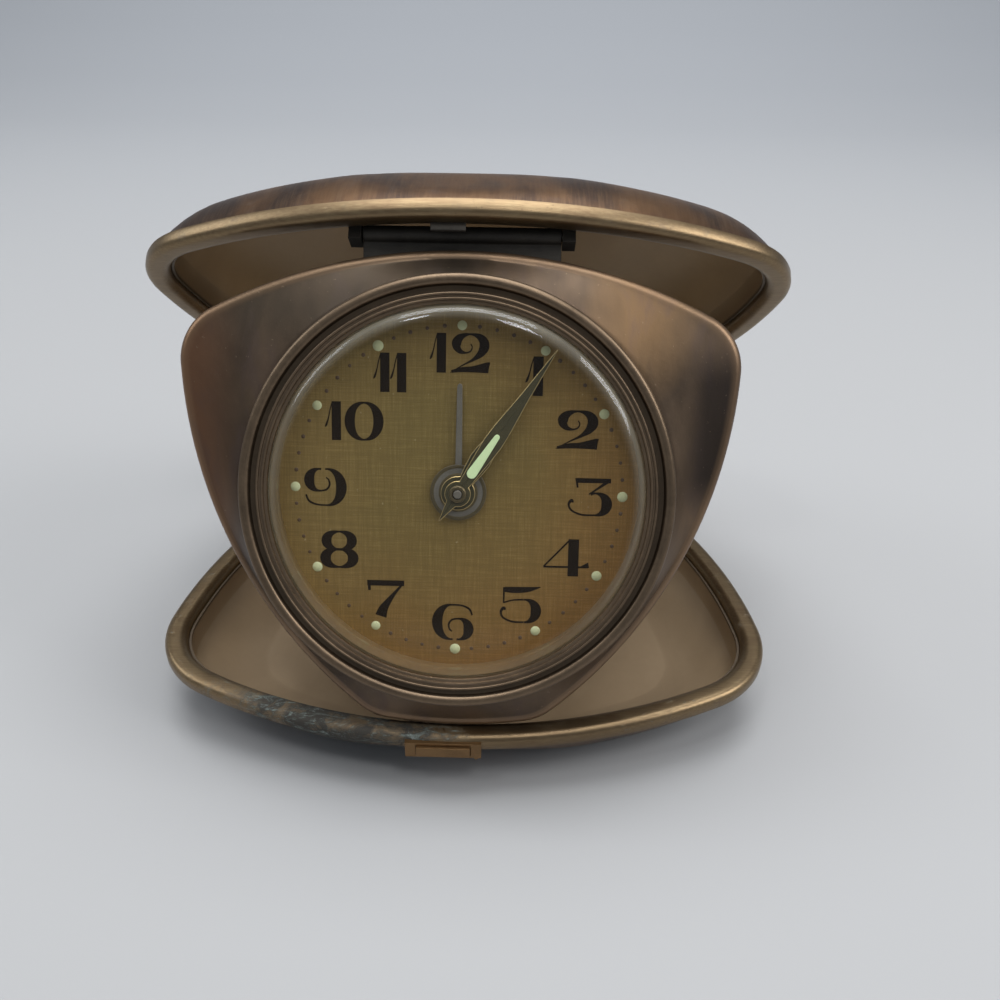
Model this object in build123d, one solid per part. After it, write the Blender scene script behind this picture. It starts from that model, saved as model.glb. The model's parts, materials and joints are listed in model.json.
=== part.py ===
from build123d import *
import math
import os
from dataclasses import dataclass

# Folding travel alarm clock: two hinged shells and a clock head that folds into the lid.
# Frame: X to the viewer's right, front towards -Y, Z up, origin on the table under the base.
# Lengths are millimetres and angles degrees.

# Pose in which the model is built: opened, standing on the table
LID_OPENING = 46.0
HEAD_LEAN = 24.4
MINUTE_HAND_TURN = 33.6
HOUR_HAND_TURN = 32.8
ALARM_HAND_TURN = 1.0

# Plan of the two shells, a rounded triangle with its wide side at the front, as shares of its width
SHELL_WIDTH = 84.0
SHELL_FRONT_REACH_SHARE = 0.44167
SHELL_BACK_REACH_SHARE = 0.45714
SHELL_WIDE_LEVEL_SHARE = 0.26548
SHELL_FRONT_RADIUS_SHARE = 0.89048
SHELL_SIDE_RADIUS_SHARE = 0.82381
SHELL_BACK_RADIUS_SHARE = 0.71429
SHELL_CORNER_RADIUS_SHARE = 0.1619
SHELL_BACK_CORNER_RADIUS_SHARE = 0.17857

# Pressed section of the shells
SHELL_CROWN = 10.9
SHELL_WALL = 0.8
RIM_BAND = 2.1
RIM_WIDTH = 3.1
RIM_OUTER_ROUND = 0.9
RIM_INNER_ROUND = 1.2
DOME_STEP = 0.8
DOME_START = 1.7
DOME_FLAT_SHARE = 0.25
DOME_SECTIONS = 4
BASE_FLATTENING = 0.4
LINING_THICKNESS = 0.3
LINING_GAP = 0.05
LINING_DROP = 1.3

# Hinge between base and lid
CASE_HINGE_SETBACK = 3.6
CASE_BARREL_RADIUS = 1.6
CASE_PIN_RADIUS = 0.7
CASE_KNUCKLE_LENGTH = 6.0
CASE_CENTRE_KNUCKLE_LENGTH = 10.0
CASE_HINGE_ARM_THICKNESS = 1.6
CASE_HINGE_ARM_BITE = 6.0
CASE_PIN_HEAD_RADIUS = 1.1
CASE_PIN_HEAD_LENGTH = 0.5

# Catch in the base's front wall
CATCH_OFFSET = -1.4
CATCH_WIDTH = 9.4
CATCH_HEIGHT = 2.4
CATCH_DROP = 0.6
CATCH_STAND_OUT = 0.35
CATCH_FRAME = 1.3
CATCH_SILL = 0.4
BUTTON_STAND_OUT = 0.7
BUTTON_TRAVEL = 0.8
BUTTON_STEM_RADIUS = 0.4
CATCH_PIN_RADIUS = 0.4
CATCH_PIN_OVERHANG = 0.6
CATCH_SPRING_THICKNESS = 0.2
CATCH_SPRING_LEG = 1.0
LUG_WIDTH = 4.0
LUG_DROP = 0.9
LUG_ROOT = 1.3
LUG_THICKNESS = 0.5
LUG_INSET = 2.0

# Outline of the clock head, seen from the front, as shares of its width
HEAD_WIDTH = 65.4
HEAD_TOP_REACH_SHARE = 0.42813
HEAD_FOOT_REACH_SHARE = 0.44495
HEAD_WIDE_LEVEL_SHARE = 0.263
HEAD_TOP_RADIUS_SHARE = 0.97706
HEAD_SIDE_RADIUS_SHARE = 0.87309
HEAD_FOOT_RADIUS_SHARE = 0.83333
HEAD_CORNER_RADIUS_SHARE = 0.1055
HEAD_FOOT_CORNER_RADIUS_SHARE = 0.11162

# Drawn case of the clock head
HEAD_WALL = 0.8
HEAD_SKIRT = 6.4
HEAD_EDGE_ROUND = 1.0
RING_SEAT_RADIUS = 25.3
RING_SEAT_HEIGHT = 2.2
COVER_DEPTH = 2.4
COVER_FLAT_SHARE = 0.84
COVER_WALL = 0.7
COVER_LIP = 1.2

# Hinge between lid and head
HEAD_HINGE_INSET = 6.0
HEAD_HINGE_RISE = 0.55
HEAD_HINGE_ABOVE_TOP = 1.88
HEAD_HINGE_BEHIND = 3.24
HEAD_HINGE_WIDTH = 26.2
HEAD_KNUCKLE_LENGTH = 1.5
HEAD_BARREL_RADIUS = 1.0
HEAD_PIN_RADIUS = 0.45
HEAD_KNUCKLE_SIZE = 2.3
HEAD_LEAF_THICKNESS = 0.8
HEAD_BRACKET_PLATE = 0.8
HEAD_BRACKET_DEPTH = 2.3

# Bezel, crystal and reflector
BEZEL_RING_WIDTH = 3.4
BEZEL_BEAD_WIDTH = 1.3
BEZEL_BEAD_HEIGHT = 0.65
BEZEL_GROOVE_WIDTH = 0.8
BEZEL_STEP_HEIGHT = 0.45
BEZEL_BASE = 0.5
CRYSTAL_FLANGE = 0.5
CRYSTAL_RISE = 1.5
CRYSTAL_THICKNESS = 0.9
REFLECTOR_WALL = 0.35
REFLECTOR_TAPER = 0.4

# Dial and its lume dots
DIAL_DEPTH = 1.6
DIAL_THICKNESS = 0.4
DIAL_OVERLAP = 0.5
DOT_CIRCLE_INSET = 2.8
DOT_RADIUS = 0.55
DOT_HEIGHT = 0.12
DOT_COUNT = 12

# Hands, in their order above the dial
HAND_THICKNESS = 0.2
HAND_SPACING = 0.55
ALARM_HAND_LENGTH = 13.4
ALARM_HAND_WIDTH = 0.8
ALARM_HUB_RADIUS = 3.35
HOUR_HAND_LENGTH = 13.2
HOUR_HAND_WIDTH = 3.0
HOUR_HUB_RADIUS = 2.1
MINUTE_HAND_OVERREACH = 0.9
MINUTE_HAND_WIDTH = 2.8
MINUTE_TAIL_LENGTH = 3.8
MINUTE_HUB_RADIUS = 1.6
HAND_WIDEST_SHARE = 0.36
LUME_START = 2.6
LUME_LENGTH = 5.9
LUME_BASE_WIDTH = 1.2
LUME_END_WIDTH = 0.6
LUME_HEIGHT = 0.08

# Arbor and pipes through the dial
ARBOR_RADIUS = 0.5
ARBOR_TOP = 0.5
HOUR_PIPE_WALL = 0.3
ALARM_PIPE_WALL = 0.3
RUNNING_GAP = 0.06

# Movement plates and what ties them
PLATE_RADIUS = 20.8
PLATE_THICKNESS = 0.6
FRONT_PLATE_DEPTH = 3.6
PLATE_SPACE = 2.6
PILLAR_RADIUS = 1.0
PILLAR_OFFSET = 13.8
PILLAR_SCREW_RADIUS = 1.5
PILLAR_SCREW_HEIGHT = 0.45
SLOT_WIDTH = 0.35
SLOT_DEPTH = 0.2
SPACER_INSET = 1.6
SPACER_WIDTH = 1.4
POST_RADIUS = 1.3
POST_CIRCLE_RADIUS = 19.0
POST_TURN = 25.0
COVER_SCREW_RADIUS = 0.7
COVER_SCREW_HEAD_RADIUS = 1.5
COVER_SCREW_HEAD_HEIGHT = 0.5
COVER_SCREW_LENGTH = 2.4

# Motion work behind the dial
MOTION_MODULE = 0.25
CANNON_TEETH = 12
MINUTE_WHEEL_TEETH = 36
HOUR_WHEEL_TEETH = 40
MINUTE_PINION_TEETH = 10
MINUTE_WHEEL_TURN = 150.0
MOTION_WHEEL_THICKNESS = 0.3
MOTION_LAYER = 0.5
MOTION_TOP_GAP = 0.25
STUD_RADIUS = 0.4
TOOTH_RISE_SHARE = 0.55
TOOTH_DEPTH_SHARE = 0.85
TOOTH_ROOT_SHARE = 0.62
TOOTH_PITCH_SHARE = 0.42
TOOTH_TIP_SHARE = 0.22

# Alarm setting
ALARM_MODULE = 0.28
ALARM_WHEEL_TEETH = 42
ALARM_PINION_TEETH = 16
ALARM_ARBOR_TURN = 270.0
ALARM_ARBOR_RADIUS = 0.6

# Barrels, ratchets and clicks
BARREL_PLACE_X = 10.6
BARREL_PLACE_Y = 4.2
BARREL_RADIUS = 5.4
BARREL_HEIGHT = 1.9
BARREL_WALL = 0.4
BARREL_GAP = 0.35
BARREL_ARBOR_RADIUS = 0.9
BARREL_HUB_RADIUS = 1.5
RATCHET_RADIUS = 2.6
RATCHET_THICKNESS = 0.3
RATCHET_TEETH = 16
RATCHET_TOOTH_HEIGHT = 0.35
CLICK_GAP = 0.15
CLICK_LENGTH = 2.6
CLICK_RADIUS = 0.7

# Centre wheel and balance
CENTRE_WHEEL_RADIUS = 5.0
CENTRE_WHEEL_THICKNESS = 0.3
CENTRE_WHEEL_TEETH = 30
CENTRE_WHEEL_TOOTH_HEIGHT = 0.3
WHEEL_SPOKE_WIDTH = 0.8
WHEEL_RIM_WIDTH = 0.7
BALANCE_PLACE_Y = 13.6
BALANCE_RADIUS = 4.8
BALANCE_THICKNESS = 0.4
BALANCE_RIM_WIDTH = 0.6
BALANCE_STAFF_RADIUS = 0.3
BALANCE_RISE = 1.0
HAIRSPRING_TURNS = 3
HAIRSPRING_STEPS = 12
HAIRSPRING_WIDTH = 0.12
HAIRSPRING_HEIGHT = 0.3
HAIRSPRING_INNER = 0.7
HAIRSPRING_PITCH = 0.55
COCK_WIDTH = 3.0
COCK_LENGTH = 7.0
COCK_THICKNESS = 0.6

# Alarm hammer and stop
HAMMER_PLACE_X = -7.5
HAMMER_PLACE_Y = -13.0
HAMMER_ARM = 5.0
HAMMER_WIDTH = 1.0
HAMMER_HEAD_RADIUS = 1.4
HAMMER_STUD_RADIUS = 0.5
HAMMER_THICKNESS = 1.2
STOP_PLACE_X = 9.5
STOP_PLACE_Y = -11.0
STOP_RADIUS = 1.0
STOP_CAP_RADIUS = 1.7
STOP_CAP_HEIGHT = 0.9
STOP_TRAVEL = 0.7

# Keys and knobs on the back cover
BACK_GAP = 0.25
KEY_HUB_RADIUS = 1.7
KEY_HUB_HEIGHT = 0.9
KEY_WING_LENGTH = 5.2
KEY_WING_WIDTH = 2.6
KEY_WING_THICKNESS = 0.7
KNOB_HEIGHT = 1.5
TIME_KNOB_RADIUS = 3.0
ALARM_KNOB_RADIUS = 2.4
KNOB_FLUTES = 16
KNOB_FLUTE_DEPTH = 0.22
REGULATOR_HUB_RADIUS = 1.4
REGULATOR_LENGTH = 4.6
REGULATOR_WIDTH = 0.9
REGULATOR_THICKNESS = 0.4
REGULATOR_STEM_RADIUS = 0.6

# Shared small values
OVERRUN = 1.0
SEAT_GAP = 0.03
HOLE_GAP = 0.08

# Worked out from the sizes above
SHELL_FRONT_REACH = SHELL_WIDTH * SHELL_FRONT_REACH_SHARE
SHELL_BACK_REACH = SHELL_WIDTH * SHELL_BACK_REACH_SHARE
HEAD_TOP_REACH = HEAD_WIDTH * HEAD_TOP_REACH_SHARE
RIM_HEIGHT = SHELL_CROWN - BASE_FLATTENING
HINGE_Y = SHELL_BACK_REACH + CASE_HINGE_SETBACK
HEAD_HINGE_FORWARD = SHELL_FRONT_REACH - HEAD_HINGE_INSET
HEAD_HINGE_REACH = HINGE_Y + HEAD_HINGE_FORWARD
BEZEL_BORE_RADIUS = RING_SEAT_RADIUS - BEZEL_RING_WIDTH
DIAL_RADIUS = BEZEL_BORE_RADIUS + DIAL_OVERLAP
DOT_CIRCLE_RADIUS = DIAL_RADIUS - DOT_CIRCLE_INSET
MINUTE_HAND_LENGTH = DOT_CIRCLE_RADIUS + MINUTE_HAND_OVERREACH
COVER_BACK = HEAD_SKIRT + COVER_DEPTH
BACK_PLATE_DEPTH = FRONT_PLATE_DEPTH + PLATE_THICKNESS + PLATE_SPACE
DIAL_BACK = DIAL_DEPTH + DIAL_THICKNESS
MOTION_CENTRES = MOTION_MODULE * (CANNON_TEETH + MINUTE_WHEEL_TEETH) / 2
HOUR_MODULE = 2 * MOTION_CENTRES / (MINUTE_PINION_TEETH + HOUR_WHEEL_TEETH)
ALARM_CENTRES = ALARM_MODULE * (ALARM_WHEEL_TEETH + ALARM_PINION_TEETH) / 2
HOUR_PIPE_RADIUS = ARBOR_RADIUS + RUNNING_GAP + HOUR_PIPE_WALL
ALARM_PIPE_RADIUS = HOUR_PIPE_RADIUS + RUNNING_GAP + ALARM_PIPE_WALL


@dataclass(frozen=True)
class Outline:
    """A rounded triangle of tangent arcs, wide side towards +Y, centred on X."""

    width: float
    front: float
    back: float
    wide_level: float
    front_radius: float
    side_radius: float
    back_radius: float
    corner: float
    back_corner: float

    def inset(self, step):
        """The parallel outline a step further in."""
        return Outline(
            self.width - 2 * step, self.front - step, self.back - step, self.wide_level,
            self.front_radius - step, self.side_radius - step, self.back_radius - step,
            self.corner - step, self.back_corner - step)

    def scaled(self, share):
        """The same outline, scaled about its centre."""
        return Outline(
            self.width * share, self.front * share, self.back * share, self.wide_level * share,
            self.front_radius * share, self.side_radius * share, self.back_radius * share,
            self.corner * share, self.back_corner * share)

    def circles(self):
        """Centre and radius of each arc of the right half, from the front to the back."""
        front = (Vector(0, self.front - self.front_radius), self.front_radius)
        side = (Vector(self.width / 2 - self.side_radius, self.wide_level), self.side_radius)
        back = (Vector(0, self.back_radius - self.back), self.back_radius)
        corner = (max(inner_circles(front, side, self.corner), key=lambda point: point.X), self.corner)
        lower = min(inner_circles(back, side, self.back_corner), key=lambda point: point.Y)
        return [front, corner, side, (lower, self.back_corner), back]

    def spans(self):
        """Each arc of the whole outline as its circle with start and end angle, clockwise from the front."""
        rings = self.circles()
        marks = [touch_angle(rings[0], rings[1]), touch_angle(rings[2], rings[1]),
                 touch_angle(rings[2], rings[3]), touch_angle(rings[4], rings[3])]
        right = [(rings[i], marks[i - 1], marks[i]) for i in (1, 2, 3)]
        left = [(flipped(ring), 180 - end, 180 - start) for ring, start, end in reversed(right)]
        front = (rings[0], 180 - marks[0], marks[0])
        back = (rings[4], marks[3], -180 - marks[3])
        return [front] + right + [back] + left

    def wire(self, height):
        """The closed wire at a height, as eight arcs."""
        return Wire([arc(*span) for span in self.spans()]).moved(Location((0, 0, height)))

    def face(self, height=0.0):
        """The filled outline at a height."""
        return Face(self.wire(height))

    def block(self, low, high):
        """The outline as a prism between two heights."""
        return extrude(self.face(low), amount=high - low, dir=(0, 0, 1))


def flipped(ring):
    """A circle mirrored to the other side of X zero."""
    return Vector(-ring[0].X, ring[0].Y), ring[1]


def inner_circles(first, second, radius):
    """The two centres of a circle that touches two larger ones from inside."""
    gap = second[0] - first[0]
    reach_first = first[1] - radius
    reach_second = second[1] - radius
    along = (reach_first ** 2 - reach_second ** 2 + gap.length ** 2) / (2 * gap.length)
    across = math.sqrt(max(reach_first ** 2 - along ** 2, 0))
    unit = gap.normalized()
    side = Vector(-unit.Y, unit.X)
    return first[0] + unit * along + side * across, first[0] + unit * along - side * across


def touch_angle(large, small):
    """Direction in degrees from a large arc's centre to where the small one touches it."""
    step = small[0] - large[0]
    return math.degrees(math.atan2(step.Y, step.X))


def ring_point(ring, angle):
    """The point of a circle at an angle."""
    turn = math.radians(angle)
    return ring[0] + Vector(math.cos(turn), math.sin(turn)) * ring[1]


def arc(ring, start, end):
    """The arc of a circle between two angles."""
    return ThreePointArc(ring_point(ring, start), ring_point(ring, (start + end) / 2), ring_point(ring, end))


SHELL_SHARES = Outline(
    1, SHELL_FRONT_REACH_SHARE, SHELL_BACK_REACH_SHARE, SHELL_WIDE_LEVEL_SHARE, SHELL_FRONT_RADIUS_SHARE,
    SHELL_SIDE_RADIUS_SHARE, SHELL_BACK_RADIUS_SHARE, SHELL_CORNER_RADIUS_SHARE, SHELL_BACK_CORNER_RADIUS_SHARE)
HEAD_SHARES = Outline(
    1, HEAD_TOP_REACH_SHARE, HEAD_FOOT_REACH_SHARE, HEAD_WIDE_LEVEL_SHARE, HEAD_TOP_RADIUS_SHARE,
    HEAD_SIDE_RADIUS_SHARE, HEAD_FOOT_RADIUS_SHARE, HEAD_CORNER_RADIUS_SHARE, HEAD_FOOT_CORNER_RADIUS_SHARE)
SHELL_PLAN = SHELL_SHARES.scaled(SHELL_WIDTH)
HEAD_PLAN = HEAD_SHARES.scaled(HEAD_WIDTH)


def tube(outer, inner, low, high, x=0.0, y=0.0):
    """A round tube along Z."""
    return rod(outer, low, high, x, y) - rod(inner, low - OVERRUN, high + OVERRUN, x, y)


def rod(radius, low, high, x=0.0, y=0.0):
    """A round bar along Z."""
    return Pos(x, y, (low + high) / 2) * Cylinder(radius, high - low)


def bar(x_low, x_high, y_low, y_high, z_low, z_high):
    """A rectangular block between six limits."""
    middle = ((x_low + x_high) / 2, (y_low + y_high) / 2, (z_low + z_high) / 2)
    return Pos(*middle) * Box(x_high - x_low, y_high - y_low, z_high - z_low)


def cross_rod(radius, x_low, x_high, y, z):
    """A round bar along X."""
    return Pos((x_low + x_high) / 2, y, z) * Rot(0, 90, 0) * Cylinder(radius, x_high - x_low)


def polar(radius, angle):
    """X and Y at a radius and an angle in degrees."""
    turn = math.radians(angle)
    return radius * math.cos(turn), radius * math.sin(turn)


# Shells and linings, built closed with the rim at Z zero, front towards +Y and dome up

def dome(plan, start, crown):
    """The domed body over a plan, from its start height to the flat of its crown."""
    sections = []
    for step in range(DOME_SECTIONS + 1):
        share = 1 - (1 - DOME_FLAT_SHARE) * step / DOME_SECTIONS
        fall = ((share - DOME_FLAT_SHARE) / (1 - DOME_FLAT_SHARE)) ** 2
        sections.append(plan.scaled(share).wire(crown - (crown - start) * fall))
    return Solid.make_loft(sections)


def pillow(plan, start, crown):
    """A straight wall with a dome on it."""
    return plan.block(0, start) + dome(plan, start, crown)


def inner_start(step):
    """Height where the inner dome begins, so that the wall keeps its thickness."""
    reach = SHELL_WIDTH / 2
    share = 1 - (step - DOME_STEP) / (reach - DOME_STEP)
    fall = ((share - DOME_FLAT_SHARE) / (1 - DOME_FLAT_SHARE)) ** 2
    return SHELL_CROWN - (SHELL_CROWN - DOME_START) * fall - SHELL_WALL


def cavity(gap):
    """The hollow of a shell, less a gap all round."""
    step = RIM_WIDTH + gap
    return pillow(SHELL_PLAN.inset(step), inner_start(step) - gap, SHELL_CROWN - SHELL_WALL - gap)


def rim_ring():
    """The band of a shell with its rounded lip."""
    ring = SHELL_PLAN.block(0, RIM_BAND)
    ring = fillet(rim_edges(ring), RIM_OUTER_ROUND)
    ring -= SHELL_PLAN.inset(RIM_WIDTH).block(-OVERRUN, RIM_BAND + OVERRUN)
    inner = [edge for edge in rim_edges(ring) if inside_rim(edge)]
    return fillet(inner, RIM_INNER_ROUND)


def rim_edges(body):
    """The edges of a body that lie in the rim plane."""
    return body.edges().filter_by_position(Axis.Z, -SEAT_GAP, SEAT_GAP)


def inside_rim(edge):
    """Whether an edge of the rim belongs to its inner side."""
    limit = SHELL_PLAN.inset(RIM_WIDTH - SEAT_GAP).face()
    return limit.is_inside(edge @ 0.5)


def shell_blank():
    """A pressed shell before its own cut-outs."""
    body = dome(SHELL_PLAN.inset(DOME_STEP), DOME_START, SHELL_CROWN) - cavity(0)
    return rim_ring() + body


def lining_blank():
    """A lining that follows the hollow of a shell."""
    body = cavity(LINING_GAP) - cavity(LINING_GAP + LINING_THICKNESS)
    return body - SHELL_PLAN.block(-OVERRUN, LINING_DROP)


def flattened(body, height):
    """A body cut flat at a height."""
    return body - SHELL_PLAN.block(height, SHELL_CROWN + OVERRUN)


def base_shell():
    """The lower shell, flattened where it stands, with its wall cut for the catch."""
    outside = flattened(shell_blank() + flat_filler(), RIM_HEIGHT)
    return outside - catch_space(HOLE_GAP, LINING_THICKNESS) - lug_form(HOLE_GAP)


def flat_filler():
    """Metal behind the flattened foot, so that the wall keeps its thickness there."""
    return cavity(0) & SHELL_PLAN.block(RIM_HEIGHT - SHELL_WALL, SHELL_CROWN)


def base_lining():
    """The lining of the base, level over the flattened foot."""
    floor = RIM_HEIGHT - SHELL_WALL - LINING_GAP
    outer = flattened(cavity(LINING_GAP), floor)
    inner = flattened(cavity(LINING_GAP + LINING_THICKNESS), floor - LINING_THICKNESS)
    body = outer - inner - SHELL_PLAN.block(-OVERRUN, LINING_DROP)
    return body - catch_space(HOLE_GAP + LINING_GAP, BUTTON_TRAVEL + CATCH_SPRING_THICKNESS)


def lid_shell():
    """The upper shell, with the pocket of its catch lug."""
    return shell_blank() - lug_plate(-CATCH_OFFSET, SEAT_GAP, -OVERRUN, LUG_ROOT)


def lid_lining():
    """The lining of the lid, cut round the head hinge bracket."""
    return lining_blank() - bracket_space(HOLE_GAP, RIM_WIDTH)


# Case hinge, in the same closed frame

def knuckle_arm(x_low, x_high, side):
    """A barrel with the arm that reaches the rim, above or below the rim plane."""
    barrel = cross_rod(CASE_BARREL_RADIUS, x_low, x_high, -HINGE_Y, 0)
    low, high = sorted((0, side * CASE_HINGE_ARM_THICKNESS))
    clearance = side * SEAT_GAP
    arm = bar(x_low, x_high, -HINGE_Y, -SHELL_BACK_REACH + CASE_HINGE_ARM_BITE, low + clearance, high + clearance)
    return barrel + arm


def case_knuckles(spans, side):
    """The knuckles of one leaf, fitted against the outside of its shell."""
    fit = SHELL_PLAN.block(-SHELL_CROWN, SHELL_CROWN)
    bore = cross_rod(CASE_PIN_RADIUS + HOLE_GAP, -SHELL_WIDTH, SHELL_WIDTH, -HINGE_Y, 0)
    pieces = [knuckle_arm(low, high, side) - fit - bore for low, high in spans]
    return Compound(children=[solid for piece in pieces for solid in piece.solids()])


def base_hinge():
    """Two outer knuckles fixed to the base."""
    start = CASE_CENTRE_KNUCKLE_LENGTH / 2 + HOLE_GAP
    end = start + CASE_KNUCKLE_LENGTH
    return case_knuckles([(-end, -start), (start, end)], -1)


def lid_hinge():
    """The centre knuckle fixed to the lid."""
    half = CASE_CENTRE_KNUCKLE_LENGTH / 2
    return case_knuckles([(-half, half)], 1)


def case_pin():
    """The pin of the case hinge, with a small head at each end."""
    half = CASE_CENTRE_KNUCKLE_LENGTH / 2 + HOLE_GAP + CASE_KNUCKLE_LENGTH + SEAT_GAP
    end = half + CASE_PIN_HEAD_LENGTH
    shape = cross_rod(CASE_PIN_RADIUS, -end, end, -HINGE_Y, 0)
    for low, high in ((-end, -half), (half, end)):
        shape += cross_rod(CASE_PIN_HEAD_RADIUS, low, high, -HINGE_Y, 0)
    return shape


# Catch, in the same closed frame but on the base's side of the rim, so dome up stands for down

def catch_space(gap, deeper=0.0):
    """The notch that the catch needs in the front wall, and behind it for the spring if asked."""
    left = CATCH_OFFSET - CATCH_WIDTH / 2 - gap
    right = CATCH_OFFSET + CATCH_WIDTH / 2 + gap
    front = SHELL_FRONT_REACH + OVERRUN
    back = SHELL_FRONT_REACH - RIM_WIDTH - gap - deeper - (gap if deeper else 0)
    return bar(left, right, back, front, CATCH_DROP - gap, CATCH_DROP + CATCH_HEIGHT + gap)


def catch_block():
    """The framed block set in the wall, with the window of the button and its pin hole."""
    left = CATCH_OFFSET - CATCH_WIDTH / 2
    right = CATCH_OFFSET + CATCH_WIDTH / 2
    front = SHELL_FRONT_REACH + CATCH_STAND_OUT
    back = SHELL_FRONT_REACH - RIM_WIDTH
    bottom = CATCH_DROP + CATCH_HEIGHT
    body = bar(left, right, back, front, CATCH_DROP, bottom)
    window = bar(left + CATCH_FRAME, right - CATCH_FRAME, back + CATCH_FRAME, front + OVERRUN,
                 CATCH_DROP + CATCH_SILL, bottom - CATCH_SILL)
    guide = Pos(CATCH_OFFSET, back, stem_level()) * Rot(90, 0, 0) * Cylinder(
        BUTTON_STEM_RADIUS + HOLE_GAP, 2 * CATCH_FRAME + 2 * HOLE_GAP)
    return body - window - guide - catch_pin_shape(HOLE_GAP) - lug_form(HOLE_GAP)


def stem_level():
    """Height of the button's stem, low enough to meet the spring."""
    return CATCH_DROP + CATCH_SILL + HOLE_GAP + SEAT_GAP + BUTTON_STEM_RADIUS


def catch_pin_shape(gap):
    """The upright pin at the right end of the block."""
    x = CATCH_OFFSET + CATCH_WIDTH / 2 - CATCH_FRAME / 2
    y = SHELL_FRONT_REACH + CATCH_STAND_OUT - CATCH_FRAME / 2
    low = CATCH_DROP + CATCH_SILL
    high = CATCH_DROP + CATCH_HEIGHT + CATCH_PIN_OVERHANG
    return rod(CATCH_PIN_RADIUS + gap, low - gap, high, x, y)


def catch_button():
    """The push piece in the window, with a stem through the block's back."""
    half = CATCH_WIDTH / 2 - CATCH_FRAME - HOLE_GAP
    front = SHELL_FRONT_REACH + BUTTON_STAND_OUT
    floor = SHELL_FRONT_REACH - RIM_WIDTH + CATCH_FRAME
    back = floor + BUTTON_TRAVEL + HOLE_GAP
    low = CATCH_DROP + CATCH_SILL + HOLE_GAP
    high = CATCH_DROP + CATCH_HEIGHT - CATCH_SILL - HOLE_GAP
    plate = bar(CATCH_OFFSET - half, CATCH_OFFSET + half, back, front, low, high)
    tip = SHELL_FRONT_REACH - RIM_WIDTH
    stem_length = back - tip
    stem = Pos(CATCH_OFFSET, tip + stem_length / 2, stem_level()) * Rot(90, 0, 0) * Cylinder(
        BUTTON_STEM_RADIUS, stem_length)
    return plate + stem


def catch_spring():
    """The flat spring behind the block, clamped at its two ends."""
    left = CATCH_OFFSET - CATCH_WIDTH / 2
    right = CATCH_OFFSET + CATCH_WIDTH / 2
    back = SHELL_FRONT_REACH - RIM_WIDTH - SEAT_GAP
    low = stem_level() - BUTTON_STEM_RADIUS
    high = inner_start(RIM_WIDTH) - HOLE_GAP
    bow = BUTTON_TRAVEL + HOLE_GAP
    spine = bar(left + CATCH_SPRING_LEG, right - CATCH_SPRING_LEG, back - bow - CATCH_SPRING_THICKNESS,
                back - bow, low, high)
    for start, end in ((left, left + CATCH_SPRING_LEG), (right - CATCH_SPRING_LEG, right)):
        spine += bar(start, end, back - bow - CATCH_SPRING_THICKNESS, back, low, high)
    return spine


def lug_form(gap):
    """The room of the lid's catch lug below the rim plane, for the base side."""
    return lug_plate(CATCH_OFFSET, gap, -gap, LUG_DROP + gap)


def lug_plate(offset, gap, low, high):
    """A plate at the lug's place between two heights."""
    front = SHELL_FRONT_REACH - LUG_INSET + gap
    half = LUG_WIDTH / 2 + gap
    return bar(offset - half, offset + half, front - LUG_THICKNESS - 2 * gap, front, low, high)


def lid_catch_lug():
    """The small plate set in the lid's lip that the catch takes hold of."""
    return lug_plate(-CATCH_OFFSET, 0, -LUG_DROP, LUG_ROOT)


# Head hinge, lid side, in the closed frame

def bracket_space(gap, forward=0.0):
    """The block inside the lid that the bracket fills, reaching forward of it if asked."""
    half = HEAD_HINGE_WIDTH / 2 + gap
    front = HEAD_HINGE_FORWARD + HEAD_KNUCKLE_SIZE / 2
    back = front - HEAD_BRACKET_DEPTH
    return bar(-half, half, back - gap, front + gap + forward, HEAD_HINGE_RISE, SHELL_CROWN)


def head_hinge_bracket():
    """A plate against the inside of the lid with a square knuckle at each end."""
    half = HEAD_HINGE_WIDTH / 2
    front = HEAD_HINGE_FORWARD + HEAD_KNUCKLE_SIZE / 2
    room = cavity(SEAT_GAP)
    plate = bracket_space(0) & room
    plate -= cavity(SEAT_GAP + HEAD_BRACKET_PLATE)
    plate -= bar(-half, half, 0, SHELL_FRONT_REACH, 0, HEAD_HINGE_RISE + HEAD_BARREL_RADIUS + HOLE_GAP)
    low = HEAD_HINGE_RISE - HEAD_KNUCKLE_SIZE / 2
    shape = plate
    for start, end in ((-half, -half + HEAD_KNUCKLE_LENGTH), (half - HEAD_KNUCKLE_LENGTH, half)):
        knuckle = bar(start, end, front - HEAD_KNUCKLE_SIZE, front, low, SHELL_CROWN)
        shape += knuckle - (knuckle_blank(start, end, front) - room)
    return shape - cross_rod(HEAD_PIN_RADIUS + HOLE_GAP / 2, -half - OVERRUN, half + OVERRUN,
                             HEAD_HINGE_FORWARD, HEAD_HINGE_RISE)


def knuckle_blank(start, end, front):
    """The part of a knuckle that lies above the rim plane."""
    return bar(start, end, front - HEAD_KNUCKLE_SIZE, front, 0, SHELL_CROWN + OVERRUN)


def head_hinge_pin():
    """The pin of the head hinge."""
    half = HEAD_HINGE_WIDTH / 2
    return cross_rod(HEAD_PIN_RADIUS, -half, half, HEAD_HINGE_FORWARD, HEAD_HINGE_RISE)


# Head, built facing +Z with 12 o'clock towards +Y, outline plane at Z zero

def circle_wire(radius, height):
    """A circle cut into eight arcs that match the outline's."""
    ring = (Vector(0, 0), radius)
    ends = [ring_point(circle, end) for circle, start, end in HEAD_PLAN.spans()]
    marks = [math.degrees(math.atan2(point.Y, point.X)) for point in ends]
    arcs = []
    for before, after in zip([marks[-1]] + marks, marks):
        turn = (before - after) % 360
        arcs.append(arc(ring, before, before - turn))
    return Wire(arcs).moved(Location((0, 0, height)))


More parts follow.
